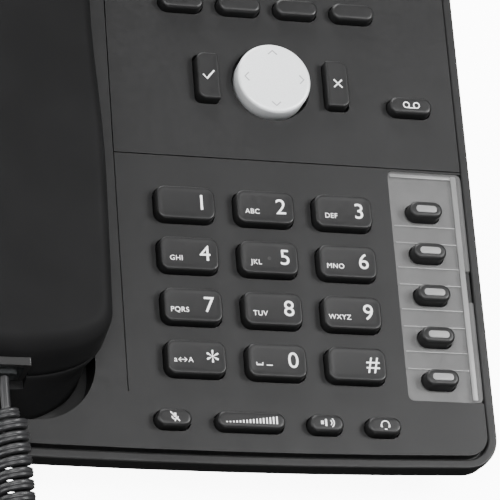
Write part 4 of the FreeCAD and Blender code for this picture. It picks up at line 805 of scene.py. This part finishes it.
def add_dial_legends():
    """The digit at the right of each dial key and its letters at the lower left."""
    for label, letters in DIAL_LEGENDS.items():
        node = f"key_{label}"
        across, up, top = key_top(node)
        top -= KEY_FORMS["dial"][3]
        sign = DIAL_SIGNS.get(label, label)
        digit = text_mesh(sign, STAR_HIGH if label == "star" else DIGIT_HIGH)
        drop = STAR_DROP if label == "star" else 0.0
        print_on(f"{node}_digit", digit, (across + DIGIT_ACROSS, up - drop, top), "legend_white", node)
        if letters:
            words = text_mesh(letters, LETTER_HIGH)
            place = (across + LETTERS_AT[0], up + LETTERS_AT[1], top)
            print_on(f"{node}_letters", words, place, "legend_white", node)
    shift = text_mesh("a\u2194A", 1.3)
    across, up, top = key_top("key_star")
    print_on("key_star_letters", shift, (across - 3.1, up - 0.8, top - 0.1), "legend_white", "key_star")
    space = [[(-1.9, 0.3), (-1.9, -0.3), (-0.5, -0.3), (-0.5, 0.3)], [(0.4, -0.35), (1.8, -0.35)]]
    print_strokes("key_0_letters", space, 0.22, "key_0", (-3.1, -0.9))
    bump = [arc((0, 0), 0.22, 0, 360)]
    print_strokes("key_5_bump", bump, 0.44, "key_5", (-0.05, -0.2), "mark_black")


def add_icons():
    """Generic signs on the small keys."""
    print_strokes("ok_sign", [[(-1.35, 0.15), (-0.45, -0.95), (1.4, 1.25)]], 0.32, "ok_key")
    cross = [[(-1.0, -1.0), (1.0, 1.0)], [(-1.0, 1.0), (1.0, -1.0)]]
    print_strokes("cancel_sign", cross, 0.32, "cancel_key")
    tape = [arc((-1.25, 0), 0.72, 0, 360), arc((1.25, 0), 0.72, 0, 360), [(-1.25, -0.72), (1.25, -0.72)]]
    print_strokes("voicemail_sign", tape, 0.26, "voicemail_key")
    bars = []
    for number in range(16):
        height = 0.25 + 1.55 * (number / 15) ** 1.2
        across = -5.9 + number * 0.78
        bars.append([(across, -0.85), (across, -0.85 + height)])
    print_strokes("volume_sign", bars, 0.36, "volume_rocker")
    microphone = [
        [(0, -0.1), (0, 0.85)],
        arc((0, 0.1), 0.7, 180, 360),
        [(0, -0.6), (0, -1.1)],
    ]
    print_strokes("mute_sign", microphone, 0.24, "mute_key")
    print_strokes("mute_capsule", [[(0, -0.05), (0, 0.9)]], 0.62, "mute_key")
    print_strokes("mute_bar", [[(-1.05, 1.2), (1.05, -1.0)]], 0.26, "mute_key")
    speaker = [arc((0.1, 0), 0.75, -50, 50), arc((0.1, 0), 1.3, -50, 50)]
    print_strokes("speaker_waves", speaker, 0.22, "speaker_key", (0.15, 0))
    print_strokes("speaker_box", [[(-1.55, 0), (-0.95, 0)]], 0.8, "speaker_key")
    print_strokes("speaker_horn", [[(-0.6, 0), (-0.15, 0)]], 1.7, "speaker_key")
    headset = [arc((0, 0), 0.95, -40, 220), [(-0.2, -1.05), (0.35, -1.05)]]
    print_strokes("headset_sign", headset, 0.24, "headset_key")
    ears = [[(-0.95, -0.55), (-0.95, 0.05)], [(0.95, -0.55), (0.95, 0.05)]]
    print_strokes("headset_ears", ears, 0.42, "headset_key")


# ---------------------------------------------------------------------------------------------------
# navigation pad

PAD_STEPS = 72
PAD_EDGE = 0.8
PAD_EDGE_STEPS = 6
PAD_DISH = 0.25
CHEVRON = ((6.2, -1.1), (7.2, 0.0), (6.2, 1.1))
CHEVRON_WIDE = 0.28


def lathe(name, profile, centre, steps):
    """A round piece about an axis out of the face, over a profile of radius and height."""
    rings = []
    for radius, height in profile:
        rings.append([at(centre[0] + radius * math.cos(2 * math.pi * step / steps),
                         centre[1] + radius * math.sin(2 * math.pi * step / steps), height)
                      for step in range(steps)])
    return loft(name, rings)


def add_navigation():
    """The round pad: a soft rounded rim, a shallow dish, and four thin chevrons."""
    left, right, front, back, under, top = reach("nav_cap")
    centre = ((left + right) / 2, (front + back) / 2)
    radius = (right - left) / 2
    profile = [(radius - 0.4, under + 2.0), (radius, under + 2.6), (radius, top - PAD_EDGE)]
    for step in range(1, PAD_EDGE_STEPS + 1):
        angle = math.radians(90 * step / PAD_EDGE_STEPS)
        profile.append((radius - PAD_EDGE * (1 - math.cos(angle)),
                        top - PAD_EDGE * (1 - math.sin(angle))))
    for share in (0.85, 0.7, 0.5, 0.3, 0.12):
        profile.append((radius * share, top - PAD_DISH * math.cos(math.pi / 2 * share)))
    pad = add_piece("nav_pad", lathe("nav_pad", profile, centre, PAD_STEPS), "pad_silver",
                    "nav_cap", 60)
    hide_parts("nav_cap")
    for number, name in enumerate(("right", "up", "left", "down")):
        turn = Matrix.Rotation(math.pi / 2 * number, 2)
        chevron = [turn @ Vector(point) for point in CHEVRON]
        mesh = stroke_mesh(f"chevron_{name}", [[tuple(point) for point in chevron]],
                           CHEVRON_WIDE)
        print_on(f"chevron_{name}", mesh, (*centre, top - 0.08), "legend_grey", "nav_cap")


# ---------------------------------------------------------------------------------------------------
# line label and lamps


LAMP_LONG, LAMP_WIDE, LAMP_CORNER = 5.05, 1.7, 0.8
# The ruled lines stand this far below and above a line key's middle.
LINE_BELOW, LINE_ABOVE = 3.3, 3.0
LINE_HALF = 0.11
# The cover's right lip starts this far in from its right edge.
LIP_IN = 2.6


def add_line_lamps():
    """The light window let into each line key."""
    for node in LINE_KEYS:
        across, up, top = key_top(node)
        rings = []
        for inset, height in ((0, -0.3), (0, 0.02), (0.08, 0.09), (0.25, 0.12)):
            ring = rounded(LAMP_LONG - 2 * inset, LAMP_WIDE - 2 * inset, LAMP_CORNER - inset)
            rings.append([at(across + x, up + y, top + height) for x, y in ring])
        add_piece(f"{node}_lamp", loft(f"{node}_lamp", rings), "lamp_grey", node)


def slab(name, left, right, front, back, under, top, material, body, corner=0.12):
    """A flat bar with softened edges, from its sides in the face frame."""
    across, up = (left + right) / 2, (front + back) / 2
    edge = min(0.08, (top - under) / 3)
    rings = []
    for inset, height in ((0, under), (0, top - edge), (edge * 0.3, top - edge * 0.3), (edge, top)):
        ring = rounded(right - left - 2 * inset, back - front - 2 * inset, max(corner - inset, 0.02), 3)
        rings.append([at(across + x, up + y, height) for x, y in ring])
    return add_piece(name, loft(name, rings), material, body)


def add_label_lines():
    """The ruled lines of the label, one below each key and one above the next, and its cover's lips."""
    left, right, front, back, under, top = reach("label_cover")
    high = top + 0.01
    for number, node in enumerate(LINE_KEYS):
        across, up, _ = key_top(node)
        lines = [("below", up - LINE_BELOW)] if node != LINE_KEYS[-1] else []
        if number:
            lines.append(("above", up + LINE_ABOVE))
        for name, place in lines:
            slab(f"label_line_{number + 1}_{name}", left + 0.5, right - LIP_IN - 0.1, place - LINE_HALF,
                 place + LINE_HALF, high - 0.1, high + 0.02, "line_light", "label_cover")
    slab("label_lip_right", right - LIP_IN, right - 1.3, front + 0.5, back - 0.6, top - 0.1, top + 0.22,
         "label_lip", "label_cover", 0.3)
    slab("label_lip_back", left + 0.5, right - LIP_IN, back - 1.5, back - 0.7, top - 0.1, top + 0.10,
         "label_lip", "label_cover", 0.3)


# ---------------------------------------------------------------------------------------------------
# stage


FLOOR_HALF = 4.0
FLOOR_GLOW = 9.0
WORLD_STRENGTH = 0.08
# name, place and aim in the face frame in mm, size in metres, power in watts
LIGHTS = (
    ("key_light", (800, 100, 950), (60, -40, 0), 0.5, 25),
    ("soft_light", (-450, -300, 1700), (0, 0, 0), 1.2, 50),
    ("front_light", (-50, -1100, 250), (-60, -60, 0), 0.4, 9),
    ("back_light", (-200, 1000, 150), (-60, 60, 0), 0.8, 24),
    ("left_light", (-1000, 150, 200), (-60, 60, 0), 0.8, 14),
)


def add_floor():
    """A white floor that gives off light of its own, so that it stays white all over. It is hidden from
    the phone's reflections and from the light that bounces onto it."""
    half = FLOOR_HALF
    mesh = mesh_from("floor", [(-half, -half, 0), (half, -half, 0), (half, half, 0), (-half, half, 0)],
                     [(0, 1, 2, 3)])
    material, tree, shader = new_material("floor_white", (0.9, 0.9, 0.9), 0.9)
    vary(tree, noise(tree, 3, 2), shader.inputs["Base Color"], (0.89, 0.89, 0.89), (0.91, 0.91, 0.91))
    shader.inputs["Emission Color"].default_value = (1, 1, 1, 1)
    shader.inputs["Emission Strength"].default_value = FLOOR_GLOW
    mesh.materials.append(material)
    floor = bpy.data.objects.new("floor", mesh)
    bpy.context.scene.collection.objects.link(floor)
    floor.visible_glossy = False
    floor.visible_diffuse = False


def add_light(name, place, aim, size, power):
    """A square soft light at a place of the face frame, turned towards another."""
    data = bpy.data.lights.new(name, "AREA")
    data.size = size
    data.energy = power
    light = bpy.data.objects.new(name, data)
    bpy.context.scene.collection.objects.link(light)
    light.location = at(*place)
    light.rotation_mode = "QUATERNION"
    light.rotation_quaternion = (at(*aim) - at(*place)).to_track_quat("-Z", "Y")


def add_lights():
    world = bpy.data.worlds.new("studio")
    world.use_nodes = True
    world.node_tree.nodes["Background"].inputs["Color"].default_value = (1, 1, 1, 1)
    world.node_tree.nodes["Background"].inputs["Strength"].default_value = WORLD_STRENGTH
    bpy.context.scene.world = world
    for row in LIGHTS:
        add_light(*row)


add_camera()
finish_cad_nodes()
add_cord()
add_handset()
add_keys()
add_dial_legends()
add_icons()
add_navigation()
add_line_lamps()
add_label_lines()
add_floor()
add_lights()
